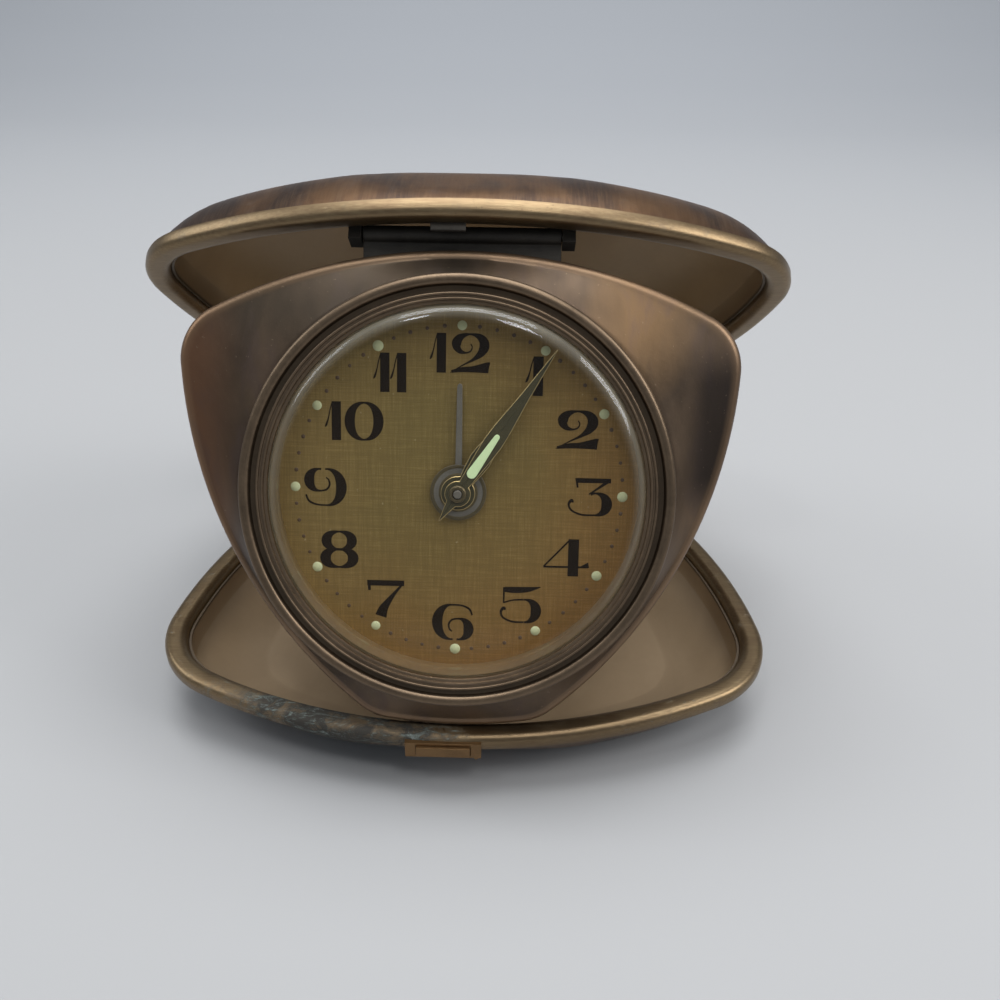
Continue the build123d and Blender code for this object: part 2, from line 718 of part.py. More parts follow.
def head_form(step):
    """The drawn body of the head: skirt, rounded edge and the rise to the ring seat."""
    plan = HEAD_PLAN.inset(step)
    round_in = HEAD_EDGE_ROUND
    skirt = plan.block(-HEAD_SKIRT - step * OVERRUN, -round_in)
    edge = Solid.make_loft([plan.wire(-round_in), plan.inset(round_in / 4).wire(-round_in / 3)], ruled=True)
    crest = Solid.make_loft([plan.inset(round_in / 4).wire(-round_in / 3), plan.inset(round_in).wire(0)], ruled=True)
    rise = Solid.make_loft([plan.inset(round_in).wire(0), circle_wire(RING_SEAT_RADIUS - step, RING_SEAT_HEIGHT)],
                           ruled=True)
    return skirt + edge + crest + rise


def head_case():
    """The pressed front and skirt of the head in one drawn piece."""
    outside = head_form(0)
    inside = Pos(0, 0, -HEAD_WALL) * head_form(HEAD_WALL)
    inside += HEAD_PLAN.inset(HEAD_WALL).block(-HEAD_SKIRT - HEAD_WALL - OVERRUN, -HEAD_SKIRT)
    shape = outside - inside
    mouth = rod(bezel_seat_radius(), -OVERRUN, RING_SEAT_HEIGHT + OVERRUN)
    return shape - mouth


def bezel_seat_radius():
    """Radius of the round hole that the bezel's neck fills."""
    return BEZEL_BORE_RADIUS + CRYSTAL_FLANGE + HEAD_WALL


def bezel_ring():
    """The turned ring: outer bead, groove, inner bead and a neck into the case."""
    low = RING_SEAT_HEIGHT + SEAT_GAP
    seat = low + BEZEL_BASE
    bead = RING_SEAT_RADIUS - BEZEL_BEAD_WIDTH
    groove = bead - BEZEL_GROOVE_WIDTH
    neck = bezel_seat_radius() - HOLE_GAP
    flange = BEZEL_BORE_RADIUS + CRYSTAL_FLANGE
    bottom = RING_SEAT_HEIGHT - HEAD_WALL
    with BuildPart() as ring:
        with BuildSketch(Plane.XZ):
            with BuildLine():
                Polyline((flange, bottom), (neck, bottom), (neck, low), (RING_SEAT_RADIUS, low),
                         (RING_SEAT_RADIUS, seat))
                Bezier((RING_SEAT_RADIUS, seat), (RING_SEAT_RADIUS, seat + BEZEL_BEAD_HEIGHT),
                       (bead, seat + BEZEL_BEAD_HEIGHT), (bead, seat))
                Polyline((bead, seat), (groove, seat), (groove, seat + BEZEL_STEP_HEIGHT),
                         (BEZEL_BORE_RADIUS, seat + BEZEL_STEP_HEIGHT), (BEZEL_BORE_RADIUS, low),
                         (flange, low), (flange, bottom))
            make_face()
        revolve(axis=Axis.Z)
    return ring.part


def crystal():
    """The domed window with the flange that the bezel holds down."""
    flange_top = RING_SEAT_HEIGHT
    flange_low = RING_SEAT_HEIGHT - HEAD_WALL
    edge = BEZEL_BORE_RADIUS - HOLE_GAP
    outer = edge + CRYSTAL_FLANGE
    top = flange_top + BEZEL_BASE + BEZEL_STEP_HEIGHT
    inner = edge - CRYSTAL_THICKNESS
    with BuildPart() as window:
        with BuildSketch(Plane.XZ):
            with BuildLine():
                Polyline((0, top + CRYSTAL_RISE - CRYSTAL_THICKNESS), (0, top + CRYSTAL_RISE))
                ThreePointArc((0, top + CRYSTAL_RISE), dome_point(edge, top, CRYSTAL_RISE), (edge, top))
                Polyline((edge, top), (edge, flange_top), (outer, flange_top), (outer, flange_low),
                         (inner, flange_low), (inner, flange_top))
                ThreePointArc((inner, flange_top),
                              dome_point(inner, flange_top, top + CRYSTAL_RISE - CRYSTAL_THICKNESS - flange_top),
                              (0, top + CRYSTAL_RISE - CRYSTAL_THICKNESS))
            make_face()
        revolve(axis=Axis.Z)
    return window.part


def dome_point(edge, level, rise):
    """A point half way along the arc from an edge to the top of a dome."""
    radius = (edge ** 2 + rise ** 2) / (2 * rise)
    half = edge / 2
    return half, level + rise - radius + math.sqrt(radius ** 2 - half ** 2)


def reflector_ring():
    """The bright tapered ring between the crystal and the dial."""
    top = RING_SEAT_HEIGHT - HEAD_WALL - SEAT_GAP
    low = -DIAL_DEPTH + SEAT_GAP
    outer = BEZEL_BORE_RADIUS + CRYSTAL_FLANGE - HOLE_GAP
    wide = outer - REFLECTOR_WALL
    narrow = wide - REFLECTOR_TAPER
    with BuildPart() as ring:
        with BuildSketch(Plane.XZ):
            with BuildLine():
                Polyline((outer, low), (outer, top), (wide, top), (narrow, low), (outer, low))
            make_face()
        revolve(axis=Axis.Z)
    return ring.part


def dial():
    """The dial disc with its centre hole."""
    return tube(DIAL_RADIUS, ALARM_PIPE_RADIUS + HOLE_GAP, -DIAL_BACK, -DIAL_DEPTH)


def lume_dots():
    """The lume dots of the hours, lying on the dial."""
    low = -DIAL_DEPTH
    dots = []
    for count in range(DOT_COUNT):
        x, y = polar(DOT_CIRCLE_RADIUS, 90 - 360 / DOT_COUNT * count)
        dots.append(rod(DOT_RADIUS, low, low + DOT_HEIGHT, x, y).solid())
    return Compound(children=dots)


# Hands, built towards 12 o'clock and turned to the time shown

ALARM_HAND_LOW = -DIAL_DEPTH + HAND_SPACING
HOUR_HAND_LOW = ALARM_HAND_LOW + HAND_SPACING
MINUTE_HAND_LOW = HOUR_HAND_LOW + HAND_SPACING


def blade(length, width, tail, low):
    """A hand's leaf-shaped blade, widest near its root, with an optional pointed tail."""
    widest = length * HAND_WIDEST_SHARE
    points = [(0, length), (-width / 2, widest), (-width / 4, 0), (0, -tail), (width / 4, 0), (width / 2, widest)]
    if tail == 0:
        points.remove((0, -tail))
    return extrude(make_face(Polyline(*points, close=True)), amount=HAND_THICKNESS).moved(Location((0, 0, low)))


def lume_strip(low):
    """The lume filling of a hand."""
    far = LUME_START + LUME_LENGTH
    points = [(-LUME_BASE_WIDTH / 2, LUME_START), (LUME_BASE_WIDTH / 2, LUME_START),
              (LUME_END_WIDTH / 2, far), (-LUME_END_WIDTH / 2, far)]
    return extrude(make_face(Polyline(*points, close=True)), amount=LUME_HEIGHT).moved(Location((0, 0, low)))


def turned(shape, angle):
    """A shape turned clockwise about the dial's axis."""
    return Rot(0, 0, -angle) * shape


def minute_hand():
    """The long dark hand with its hub."""
    low = MINUTE_HAND_LOW
    shape = blade(MINUTE_HAND_LENGTH, MINUTE_HAND_WIDTH, MINUTE_TAIL_LENGTH, low)
    shape += rod(MINUTE_HUB_RADIUS, low, low + HAND_THICKNESS)
    return turned(shape - rod(ARBOR_RADIUS + SEAT_GAP, low - OVERRUN, low + OVERRUN), MINUTE_HAND_TURN)


def minute_lume():
    """The lume of the minute hand."""
    return turned(lume_strip(MINUTE_HAND_LOW + HAND_THICKNESS), MINUTE_HAND_TURN)


def hour_hand():
    """The short dark hand with its hub, on the hour pipe."""
    low = HOUR_HAND_LOW
    shape = blade(HOUR_HAND_LENGTH, HOUR_HAND_WIDTH, 0, low)
    shape += rod(HOUR_HUB_RADIUS, low, low + HAND_THICKNESS)
    return turned(shape - rod(HOUR_PIPE_RADIUS + SEAT_GAP, low - OVERRUN, low + OVERRUN), HOUR_HAND_TURN)


def hour_lume():
    """The lume of the hour hand."""
    return turned(lume_strip(HOUR_HAND_LOW + HAND_THICKNESS), HOUR_HAND_TURN)


def alarm_hand():
    """The thin grey baton with its wide hub, on the alarm pipe."""
    low = ALARM_HAND_LOW
    shape = bar(-ALARM_HAND_WIDTH / 2, ALARM_HAND_WIDTH / 2, 0, ALARM_HAND_LENGTH - ALARM_HAND_WIDTH / 2,
                low, low + HAND_THICKNESS)
    shape += rod(ALARM_HAND_WIDTH / 2, low, low + HAND_THICKNESS, 0, ALARM_HAND_LENGTH - ALARM_HAND_WIDTH / 2)
    shape += rod(ALARM_HUB_RADIUS, low, low + HAND_THICKNESS)
    return turned(shape - rod(ALARM_PIPE_RADIUS + SEAT_GAP, low - OVERRUN, low + OVERRUN), ALARM_HAND_TURN)


# Gears

def gear(module, teeth, thickness, low, turn=0.0):
    """A wheel with plain cut teeth, one tooth centred on the turn angle."""
    pitch = module * teeth / 2
    step = 360 / teeth
    spots = [(pitch - module * TOOTH_DEPTH_SHARE, TOOTH_ROOT_SHARE), (pitch, TOOTH_PITCH_SHARE),
             (pitch + module * TOOTH_RISE_SHARE, TOOTH_TIP_SHARE)]
    points = []
    for count in range(teeth):
        middle = turn + step * count
        for radius, share in spots:
            points.append(polar(radius, middle - step * share / 2))
        for radius, share in reversed(spots):
            points.append(polar(radius, middle + step * share / 2))
    return extrude(make_face(Polyline(*points, close=True)), amount=thickness).moved(Location((0, 0, low)))


def spoked(blank, inner, outer, low, high):
    """A wheel blank with four windows between its spokes."""
    windows = tube(outer, inner, low - OVERRUN, high + OVERRUN)
    half = WHEEL_SPOKE_WIDTH / 2
    windows -= bar(-outer, outer, -half, half, low - OVERRUN, high + OVERRUN)
    windows -= bar(-half, half, -outer, outer, low - OVERRUN, high + OVERRUN)
    return blank - windows


# Motion work, from the dial back: alarm wheel, hour wheel, minute wheel

ALARM_WHEEL_LOW = -DIAL_BACK - MOTION_TOP_GAP - MOTION_WHEEL_THICKNESS
HOUR_WHEEL_LOW = ALARM_WHEEL_LOW - MOTION_LAYER
MINUTE_WHEEL_LOW = HOUR_WHEEL_LOW - MOTION_LAYER


def centre_arbor():
    """The arbor that carries the minute hand, the cannon pinion, the centre wheel and the set knob."""
    top = MINUTE_HAND_LOW + HAND_THICKNESS + ARBOR_TOP
    low = -COVER_BACK - BACK_GAP
    return rod(ARBOR_RADIUS, low, top)


def cannon_pinion():
    """The small pinion on the centre arbor."""
    shape = gear(MOTION_MODULE, CANNON_TEETH, MOTION_WHEEL_THICKNESS, MINUTE_WHEEL_LOW, MINUTE_WHEEL_TURN)
    return shape - rod(ARBOR_RADIUS + SEAT_GAP, MINUTE_WHEEL_LOW - OVERRUN, MINUTE_WHEEL_LOW + OVERRUN)


def minute_wheel():
    """The intermediate wheel and its pinion on a stud of the front plate."""
    x, y = polar(MOTION_CENTRES, MINUTE_WHEEL_TURN)
    facing = MINUTE_WHEEL_TURN + 180
    wheel = gear(MOTION_MODULE, MINUTE_WHEEL_TEETH, MOTION_WHEEL_THICKNESS, MINUTE_WHEEL_LOW,
                 facing + 180 / MINUTE_WHEEL_TEETH)
    low = MINUTE_WHEEL_LOW + MOTION_WHEEL_THICKNESS
    pinion = gear(HOUR_MODULE, MINUTE_PINION_TEETH, MOTION_LAYER, low, facing)
    bore = rod(STUD_RADIUS + RUNNING_GAP, MINUTE_WHEEL_LOW - OVERRUN, -DIAL_BACK)
    return Pos(x, y, 0) * (wheel + pinion - bore)


def hour_wheel():
    """The hour wheel with the pipe that carries the hour hand."""
    low = HOUR_WHEEL_LOW
    shape = gear(HOUR_MODULE, HOUR_WHEEL_TEETH, MOTION_WHEEL_THICKNESS, low,
                 MINUTE_WHEEL_TURN + 180 / HOUR_WHEEL_TEETH)
    shape += rod(HOUR_PIPE_RADIUS, low, HOUR_HAND_LOW + HAND_THICKNESS)
    return shape - rod(ARBOR_RADIUS + RUNNING_GAP, low - OVERRUN, OVERRUN)


def alarm_wheel():
    """The alarm setting wheel with the pipe that carries the alarm hand."""
    low = ALARM_WHEEL_LOW
    shape = gear(ALARM_MODULE, ALARM_WHEEL_TEETH, MOTION_WHEEL_THICKNESS, low, ALARM_ARBOR_TURN)
    shape += rod(ALARM_PIPE_RADIUS, low, ALARM_HAND_LOW + HAND_THICKNESS)
    return shape - rod(HOUR_PIPE_RADIUS + RUNNING_GAP, low - OVERRUN, OVERRUN)


def alarm_arbor():
    """The alarm setting arbor with the pinion that turns the alarm wheel."""
    x, y = polar(ALARM_CENTRES, ALARM_ARBOR_TURN)
    pinion = gear(ALARM_MODULE, ALARM_PINION_TEETH, MOTION_WHEEL_THICKNESS, ALARM_WHEEL_LOW,
                  ALARM_ARBOR_TURN + 180 + 180 / ALARM_PINION_TEETH)
    shaft = rod(ALARM_ARBOR_RADIUS, -COVER_BACK - BACK_GAP, ALARM_WHEEL_LOW + MOTION_WHEEL_THICKNESS)
    return Pos(x, y, 0) * (pinion + shaft)


# Movement frame

BACK_PLATE_LOW = -BACK_PLATE_DEPTH - PLATE_THICKNESS
BARREL_PLACES = ((BARREL_PLACE_X, BARREL_PLACE_Y), (-BARREL_PLACE_X, BARREL_PLACE_Y))
PILLAR_PLACES = [(x * PILLAR_OFFSET, y * PILLAR_OFFSET) for x in (-1, 1) for y in (-1, 1)]
POST_PLACES = [polar(POST_CIRCLE_RADIUS, angle) for angle in (POST_TURN, 180 - POST_TURN, 270)]
MINUTE_STUD = polar(MOTION_CENTRES, MINUTE_WHEEL_TURN)
ALARM_ARBOR_PLACE = polar(ALARM_CENTRES, ALARM_ARBOR_TURN)


def drilled(shape, holes, low, high):
    """A plate with round holes, each given as radius, X and Y."""
    for radius, x, y in holes:
        shape -= rod(radius, low - OVERRUN, high + OVERRUN, x, y)
    return shape


def arbor_holes(gap):
    """The holes that every arbor needs in both plates."""
    holes = [(ARBOR_RADIUS + gap, 0, 0), (ALARM_ARBOR_RADIUS + gap, *ALARM_ARBOR_PLACE)]
    holes += [(BARREL_ARBOR_RADIUS + gap, x, y) for x, y in BARREL_PLACES]
    holes += [(BALANCE_STAFF_RADIUS + gap, 0, BALANCE_PLACE_Y)]
    return holes


def front_plate():
    """The plate under the dial, with the stud of the minute wheel."""
    low = -FRONT_PLATE_DEPTH - PLATE_THICKNESS
    plate = drilled(rod(PLATE_RADIUS, low, -FRONT_PLATE_DEPTH), arbor_holes(RUNNING_GAP), low, -FRONT_PLATE_DEPTH)
    stud = rod(STUD_RADIUS, -FRONT_PLATE_DEPTH, ALARM_WHEEL_LOW - HOLE_GAP, *MINUTE_STUD)
    return plate + stud


def back_plate():
    """The plate at the back of the train, drilled for arbors, posts and the stop plunger."""
    low = BACK_PLATE_LOW
    high = -BACK_PLATE_DEPTH
    holes = arbor_holes(RUNNING_GAP) + [(POST_RADIUS + HOLE_GAP, x, y) for x, y in POST_PLACES]
    holes += [(STOP_RADIUS + HOLE_GAP, STOP_PLACE_X, STOP_PLACE_Y)]
    holes += [(BALANCE_RADIUS + BACK_GAP, 0, BALANCE_PLACE_Y)]
    return drilled(rod(PLATE_RADIUS, low, high), holes, low, high)


def plate_pillars():
    """The four pillars that hold the plates apart."""
    low = -BACK_PLATE_DEPTH
    high = -FRONT_PLATE_DEPTH - PLATE_THICKNESS
    return Compound(children=[rod(PILLAR_RADIUS, low, high, x, y).solid() for x, y in PILLAR_PLACES])


def slotted_head(radius, height, x, y, top):
    """A cheese head under a level, with its slot."""
    head = rod(radius, top - height, top, x, y)
    slot = bar(x - radius, x + radius, y - SLOT_WIDTH / 2, y + SLOT_WIDTH / 2, top - height - OVERRUN,
               top - height + SLOT_DEPTH)
    return head - slot


def pillar_screws():
    """The screws that hold the back plate to its pillars."""
    heads = [slotted_head(PILLAR_SCREW_RADIUS, PILLAR_SCREW_HEIGHT, x, y, BACK_PLATE_LOW)
             for x, y in PILLAR_PLACES]
    return Compound(children=[head.solid() for head in heads])


def dial_spacer():
    """The ring that carries the dial on the front plate."""
    outer = DIAL_RADIUS - SPACER_INSET
    return tube(outer, outer - SPACER_WIDTH, -FRONT_PLATE_DEPTH, -DIAL_BACK)


def movement_posts():
    """The three posts between the front plate and the back cover, bored for the cover screws."""
    posts = []
    top = -FRONT_PLATE_DEPTH - PLATE_THICKNESS
    low = -COVER_BACK + COVER_WALL
    for x, y in POST_PLACES:
        post = rod(POST_RADIUS, low, top, x, y)
        bore = rod(COVER_SCREW_RADIUS + SEAT_GAP, low - OVERRUN, low + COVER_SCREW_LENGTH, x, y)
        posts.append((post - bore).solid())
    return Compound(children=posts)


# Barrels and winding work

def barrel(x, y):
    """A spring barrel between the plates, open in the middle for its arbor."""
    low = -BACK_PLATE_DEPTH + BARREL_GAP
    high = low + BARREL_HEIGHT
    shape = tube(BARREL_RADIUS, BARREL_HUB_RADIUS + HOLE_GAP, low, high)
    shape -= tube(BARREL_RADIUS - BARREL_WALL, BARREL_HUB_RADIUS + HOLE_GAP + BARREL_WALL, low + BARREL_WALL,
                  high - BARREL_WALL)
    return Pos(x, y, 0) * shape


def winding_arbor(x, y):
    """The arbor that a key turns, with its hub inside the barrel."""
    hub_low = -BACK_PLATE_DEPTH + BARREL_GAP
    shape = rod(BARREL_ARBOR_RADIUS, -COVER_BACK - BACK_GAP, -FRONT_PLATE_DEPTH)
    shape += rod(BARREL_HUB_RADIUS, hub_low, hub_low + BARREL_HEIGHT)
    return Pos(x, y, 0) * shape


def ratchet(x, y):
    """The ratchet wheel on a winding arbor, behind the back plate."""
    high = BACK_PLATE_LOW - HOLE_GAP
    low = high - RATCHET_THICKNESS
    step = 360 / RATCHET_TEETH
    points = []
    for count in range(RATCHET_TEETH):
        points.append(polar(RATCHET_RADIUS, step * count))
        points.append(polar(RATCHET_RADIUS - RATCHET_TOOTH_HEIGHT, step * count))
    disc = extrude(make_face(Polyline(*points, close=True)), amount=RATCHET_THICKNESS)
    disc = disc.moved(Location((0, 0, low)))
    return Pos(x, y, 0) * (disc - rod(BARREL_ARBOR_RADIUS + SEAT_GAP, low - OVERRUN, high + OVERRUN))


def clicks():
    """The clicks beside the ratchets, drawn clear of the teeth."""
    high = BACK_PLATE_LOW
    low = high - HOLE_GAP - RATCHET_THICKNESS
    pawls = []
    for x, y in BARREL_PLACES:
        near = y - RATCHET_RADIUS - CLICK_GAP
        arm = bar(x - CLICK_RADIUS / 2, x + CLICK_RADIUS / 2, near - CLICK_LENGTH, near, low, high)
        pawls.append((arm + rod(CLICK_RADIUS, low, high, x, near - CLICK_LENGTH)).solid())
    return Compound(children=pawls)


def winding_key(x, y):
    """A butterfly key on a round hub."""
    high = -COVER_BACK - BACK_GAP
    low = high - KEY_HUB_HEIGHT
    wing_low = low - KEY_WING_THICKNESS
    shape = rod(KEY_HUB_RADIUS, low, high)
    half = KEY_WING_LENGTH - KEY_WING_WIDTH / 2
    shape += bar(-half, half, -KEY_WING_WIDTH / 2, KEY_WING_WIDTH / 2, wing_low, low)
    for end in (-half, half):
        shape += rod(KEY_WING_WIDTH / 2, wing_low, low, end, 0)
    return Pos(x, y, 0) * shape


# Centre wheel and balance

def centre_wheel():
    """The spoked wheel on the centre arbor between the plates."""
    high = -FRONT_PLATE_DEPTH - PLATE_THICKNESS - HOLE_GAP
    low = high - CENTRE_WHEEL_THICKNESS
    root = CENTRE_WHEEL_RADIUS - CENTRE_WHEEL_TOOTH_HEIGHT
    step = 360 / CENTRE_WHEEL_TEETH
    points = []
    for count in range(CENTRE_WHEEL_TEETH):
        for radius, share in ((root, 0), (root, 1), (CENTRE_WHEEL_RADIUS, 1), (CENTRE_WHEEL_RADIUS, 2)):
            points.append(polar(radius, step * (count + share / 2)))
    blank = extrude(make_face(Polyline(*points, close=True)), amount=CENTRE_WHEEL_THICKNESS)
    blank = blank.moved(Location((0, 0, low)))
    blank = spoked(blank, KEY_HUB_RADIUS, root - WHEEL_RIM_WIDTH, low, high)
    return blank - rod(ARBOR_RADIUS + SEAT_GAP, low - OVERRUN, high + OVERRUN)


BALANCE_LOW = -BACK_PLATE_DEPTH + BALANCE_RISE


def balance_wheel():
    """The balance with its staff."""
    high = BALANCE_LOW + BALANCE_THICKNESS
    rim = rod(BALANCE_RADIUS, BALANCE_LOW, high)
    wheel = spoked(rim, KEY_HUB_RADIUS, BALANCE_RADIUS - BALANCE_RIM_WIDTH, BALANCE_LOW, high)
    staff = rod(BALANCE_STAFF_RADIUS, -COVER_BACK + COVER_WALL + COCK_THICKNESS / 2, -FRONT_PLATE_DEPTH)
    return Pos(0, BALANCE_PLACE_Y, 0) * (wheel + staff)


def hairspring():
    """The flat spiral over the balance, on its collet."""
    high = BALANCE_LOW - SEAT_GAP
    low = high - HAIRSPRING_HEIGHT
    points = []
    steps = HAIRSPRING_TURNS * HAIRSPRING_STEPS
    for side in (1, -1):
        order = range(steps + 1) if side > 0 else range(steps, -1, -1)
        for count in order:
            radius = HAIRSPRING_INNER + HAIRSPRING_PITCH * count / HAIRSPRING_STEPS + side * HAIRSPRING_WIDTH / 2
            points.append(polar(radius, 360 / HAIRSPRING_STEPS * count))
    spiral = extrude(make_face(Polyline(*points, close=True)), amount=HAIRSPRING_HEIGHT)
    spiral = spiral.moved(Location((0, 0, low)))
    collet = tube(HAIRSPRING_INNER, BALANCE_STAFF_RADIUS + SEAT_GAP, low, high)
    return Pos(0, BALANCE_PLACE_Y, 0) * (spiral + collet)


def balance_cock():
    """The bridge that carries the back pivot of the balance staff."""
    low = -COVER_BACK + COVER_WALL + SEAT_GAP
    high = BACK_PLATE_LOW
    foot_y = BALANCE_PLACE_Y - COCK_LENGTH
    arm = bar(-COCK_WIDTH / 2, COCK_WIDTH / 2, foot_y, BALANCE_PLACE_Y, low, low + (high - low) / 2)
    arm += rod(COCK_WIDTH / 2, low, low + (high - low) / 2, 0, BALANCE_PLACE_Y)
    foot = bar(-COCK_WIDTH / 2, COCK_WIDTH / 2, foot_y, BALANCE_PLACE_Y - BALANCE_RADIUS - 2 * BACK_GAP, low, high)
    pivot = rod(BALANCE_STAFF_RADIUS + RUNNING_GAP, low - OVERRUN, high + OVERRUN, 0, BALANCE_PLACE_Y)
    return arm + foot - pivot


# Alarm hammer and stop

def alarm_hammer():
    """The alarm hammer between the plates, on its own stud."""
    low = -BACK_PLATE_DEPTH + BARREL_GAP
    high = low + HAMMER_THICKNESS
    arm = bar(0, HAMMER_ARM, -HAMMER_WIDTH / 2, HAMMER_WIDTH / 2, low, high)
    arm += rod(HAMMER_HEAD_RADIUS, low, high, HAMMER_ARM, 0)
    arm += rod(HAMMER_WIDTH, low, high)
    arm -= rod(HAMMER_STUD_RADIUS + RUNNING_GAP, low - OVERRUN, high + OVERRUN)
    return Pos(HAMMER_PLACE_X, HAMMER_PLACE_Y, 0) * arm


def hammer_stud():
    """The stud between the plates that the hammer turns on."""
    high = -FRONT_PLATE_DEPTH - PLATE_THICKNESS
    return rod(HAMMER_STUD_RADIUS, -BACK_PLATE_DEPTH, high, HAMMER_PLACE_X, HAMMER_PLACE_Y)


def alarm_stop():
    """The plunger that silences the alarm, with a round cap behind the cover."""
    cap_high = -COVER_BACK - STOP_TRAVEL - HOLE_GAP
    inner = -BACK_PLATE_DEPTH + HAMMER_THICKNESS
    shape = rod(STOP_RADIUS, cap_high, inner, STOP_PLACE_X, STOP_PLACE_Y)
    return shape + rod(STOP_CAP_RADIUS, cap_high - STOP_CAP_HEIGHT, cap_high, STOP_PLACE_X, STOP_PLACE_Y)


# Back of the head

def cover_holes(gap):
    """The holes through the back cover."""
    holes = [(ARBOR_RADIUS + gap, 0, 0), (ALARM_ARBOR_RADIUS + gap, *ALARM_ARBOR_PLACE)]
    holes += [(BARREL_ARBOR_RADIUS + gap, x, y) for x, y in BARREL_PLACES]
    holes += [(COVER_SCREW_RADIUS + gap, x, y) for x, y in POST_PLACES]
    holes += [(STOP_RADIUS + gap, STOP_PLACE_X, STOP_PLACE_Y)]
    holes += [(REGULATOR_STEM_RADIUS + gap, 0, BALANCE_PLACE_Y)]
    return holes


def cover_form(step):
    """The closed form of the back cover, less a wall."""
    plan = HEAD_PLAN.inset(step)
    return Solid.make_loft([plan.wire(-HEAD_SKIRT), plan.scaled(COVER_FLAT_SHARE).wire(-COVER_BACK + step)],
                           ruled=True)


def back_cover():
    """The shallow cover with sloping sides and a lip that enters the skirt."""
    outside = Pos(0, 0, -SEAT_GAP) * cover_form(0)
    shape = outside - cover_form(COVER_WALL)
    lip_plan = HEAD_PLAN.inset(HEAD_WALL + HOLE_GAP)
    lip = lip_plan.block(-HEAD_SKIRT - COVER_WALL, -HEAD_SKIRT + COVER_LIP)
    lip -= HEAD_PLAN.inset(HEAD_WALL + HOLE_GAP + COVER_WALL).block(-COVER_BACK, -HEAD_SKIRT + COVER_LIP + OVERRUN)
    return drilled(shape + (lip & lip_room()), cover_holes(HOLE_GAP), -COVER_BACK, -HEAD_SKIRT)


def lip_room():
    """The space in and above the cover that its lip may fill."""
    return cover_form(0) + HEAD_PLAN.block(-HEAD_SKIRT, 0)


def cover_screws():
    """The three screws that hold the back cover on the posts."""
    screws = []
    top = -COVER_BACK - 2 * SEAT_GAP
    for x, y in POST_PLACES:
        shape = slotted_head(COVER_SCREW_HEAD_RADIUS, COVER_SCREW_HEAD_HEIGHT, x, y, top)
        screws.append((shape + rod(COVER_SCREW_RADIUS, top, top + COVER_SCREW_LENGTH, x, y)).solid())
    return Compound(children=screws)


def knob(radius, x, y):
    """A fluted setting knob behind the cover."""
    high = -COVER_BACK - BACK_GAP
    low = high - KNOB_HEIGHT
    points = []
    for count in range(2 * KNOB_FLUTES):
        points.append(polar(radius - KNOB_FLUTE_DEPTH * (count % 2), 180 / KNOB_FLUTES * count))
    shape = extrude(make_face(Polyline(*points, close=True)), amount=KNOB_HEIGHT)
    return Pos(x, y, low) * shape


def regulator_lever():
    """The regulator's pointer behind the cover, with a stem towards the cock."""
    high = -COVER_BACK - SEAT_GAP - HOLE_GAP
    low = high - REGULATOR_THICKNESS
    shape = rod(REGULATOR_HUB_RADIUS, low, high)
    shape += bar(-REGULATOR_WIDTH / 2, REGULATOR_WIDTH / 2, 0, REGULATOR_LENGTH, low, high)
    shape += rod(REGULATOR_STEM_RADIUS, high, -COVER_BACK + COVER_WALL)
    return Pos(0, BALANCE_PLACE_Y, 0) * shape


def head_hinge_leaf():
    """The barrel of the head hinge with its leaf against the top of the skirt."""
    y = HEAD_TOP_REACH + HEAD_HINGE_ABOVE_TOP
    z = -HEAD_HINGE_BEHIND
    half = HEAD_HINGE_WIDTH / 2 - HEAD_KNUCKLE_LENGTH - HOLE_GAP
    barrel = cross_rod(HEAD_BARREL_RADIUS, -half, half, y, z)
    web = bar(-half, half, HEAD_TOP_REACH - 2 * HEAD_HINGE_ABOVE_TOP, y, z - HEAD_LEAF_THICKNESS / 2,
              z + HEAD_LEAF_THICKNESS / 2)
    shape = barrel + web - HEAD_PLAN.block(-HEAD_SKIRT - COVER_BACK, OVERRUN)
    return shape - cross_rod(HEAD_PIN_RADIUS + RUNNING_GAP, -half - OVERRUN, half + OVERRUN, y, z)


# Places in the opened clock

def base_place():
    """From the closed frame, dome turned down, to the base on the table."""
    return Location((0, 0, RIM_HEIGHT), (180, 0, 0))


def base_hinge_place():
    """From the closed frame, dome up, to the rim plane of the base."""
    return Location((0, 0, RIM_HEIGHT), (0, 0, 180))


def lid_place():
    """From the closed frame to the lid at its opening angle."""
    swing = Location((0, HINGE_Y, RIM_HEIGHT), (-LID_OPENING, 0, 0))
    return swing * Location((0, -HINGE_Y, 0)) * Location((0, 0, 0), (0, 0, 180))


def head_hinge_point():
    """Y and Z of the head hinge's axis in the opened clock."""
    turn = math.radians(LID_OPENING)
    y = HINGE_Y - HEAD_HINGE_REACH * math.cos(turn) + HEAD_HINGE_RISE * math.sin(turn)
    z = RIM_HEIGHT + HEAD_HINGE_REACH * math.sin(turn) + HEAD_HINGE_RISE * math.cos(turn)
    return y, z


def head_place():
    """From the head's own frame to its leaning place under the hinge."""
    lean = math.radians(HEAD_LEAN)
    y, z = head_hinge_point()
    drop = HEAD_TOP_REACH + HEAD_HINGE_ABOVE_TOP
    y -= drop * math.sin(lean) + HEAD_HINGE_BEHIND * math.cos(lean)
    z -= drop * math.cos(lean) - HEAD_HINGE_BEHIND * math.sin(lean)
    return Location((0, y, z), (90 - HEAD_LEAN, 0, 0))


def base_nodes():
    """Pieces fixed to the base, and the catch button."""
    below = {"base_shell": base_shell(), "base_lining": base_lining(), "catch_block": catch_block(),
             "catch_pin": catch_pin_shape(0), "catch_button": catch_button(), "catch_spring": catch_spring()}
    level = {"base_hinge_knuckles": base_hinge(), "case_hinge_pin": case_pin()}
    nodes = {name: base_place() * shape for name, shape in below.items()}
    nodes.update({name: base_hinge_place() * shape for name, shape in level.items()})
    return nodes


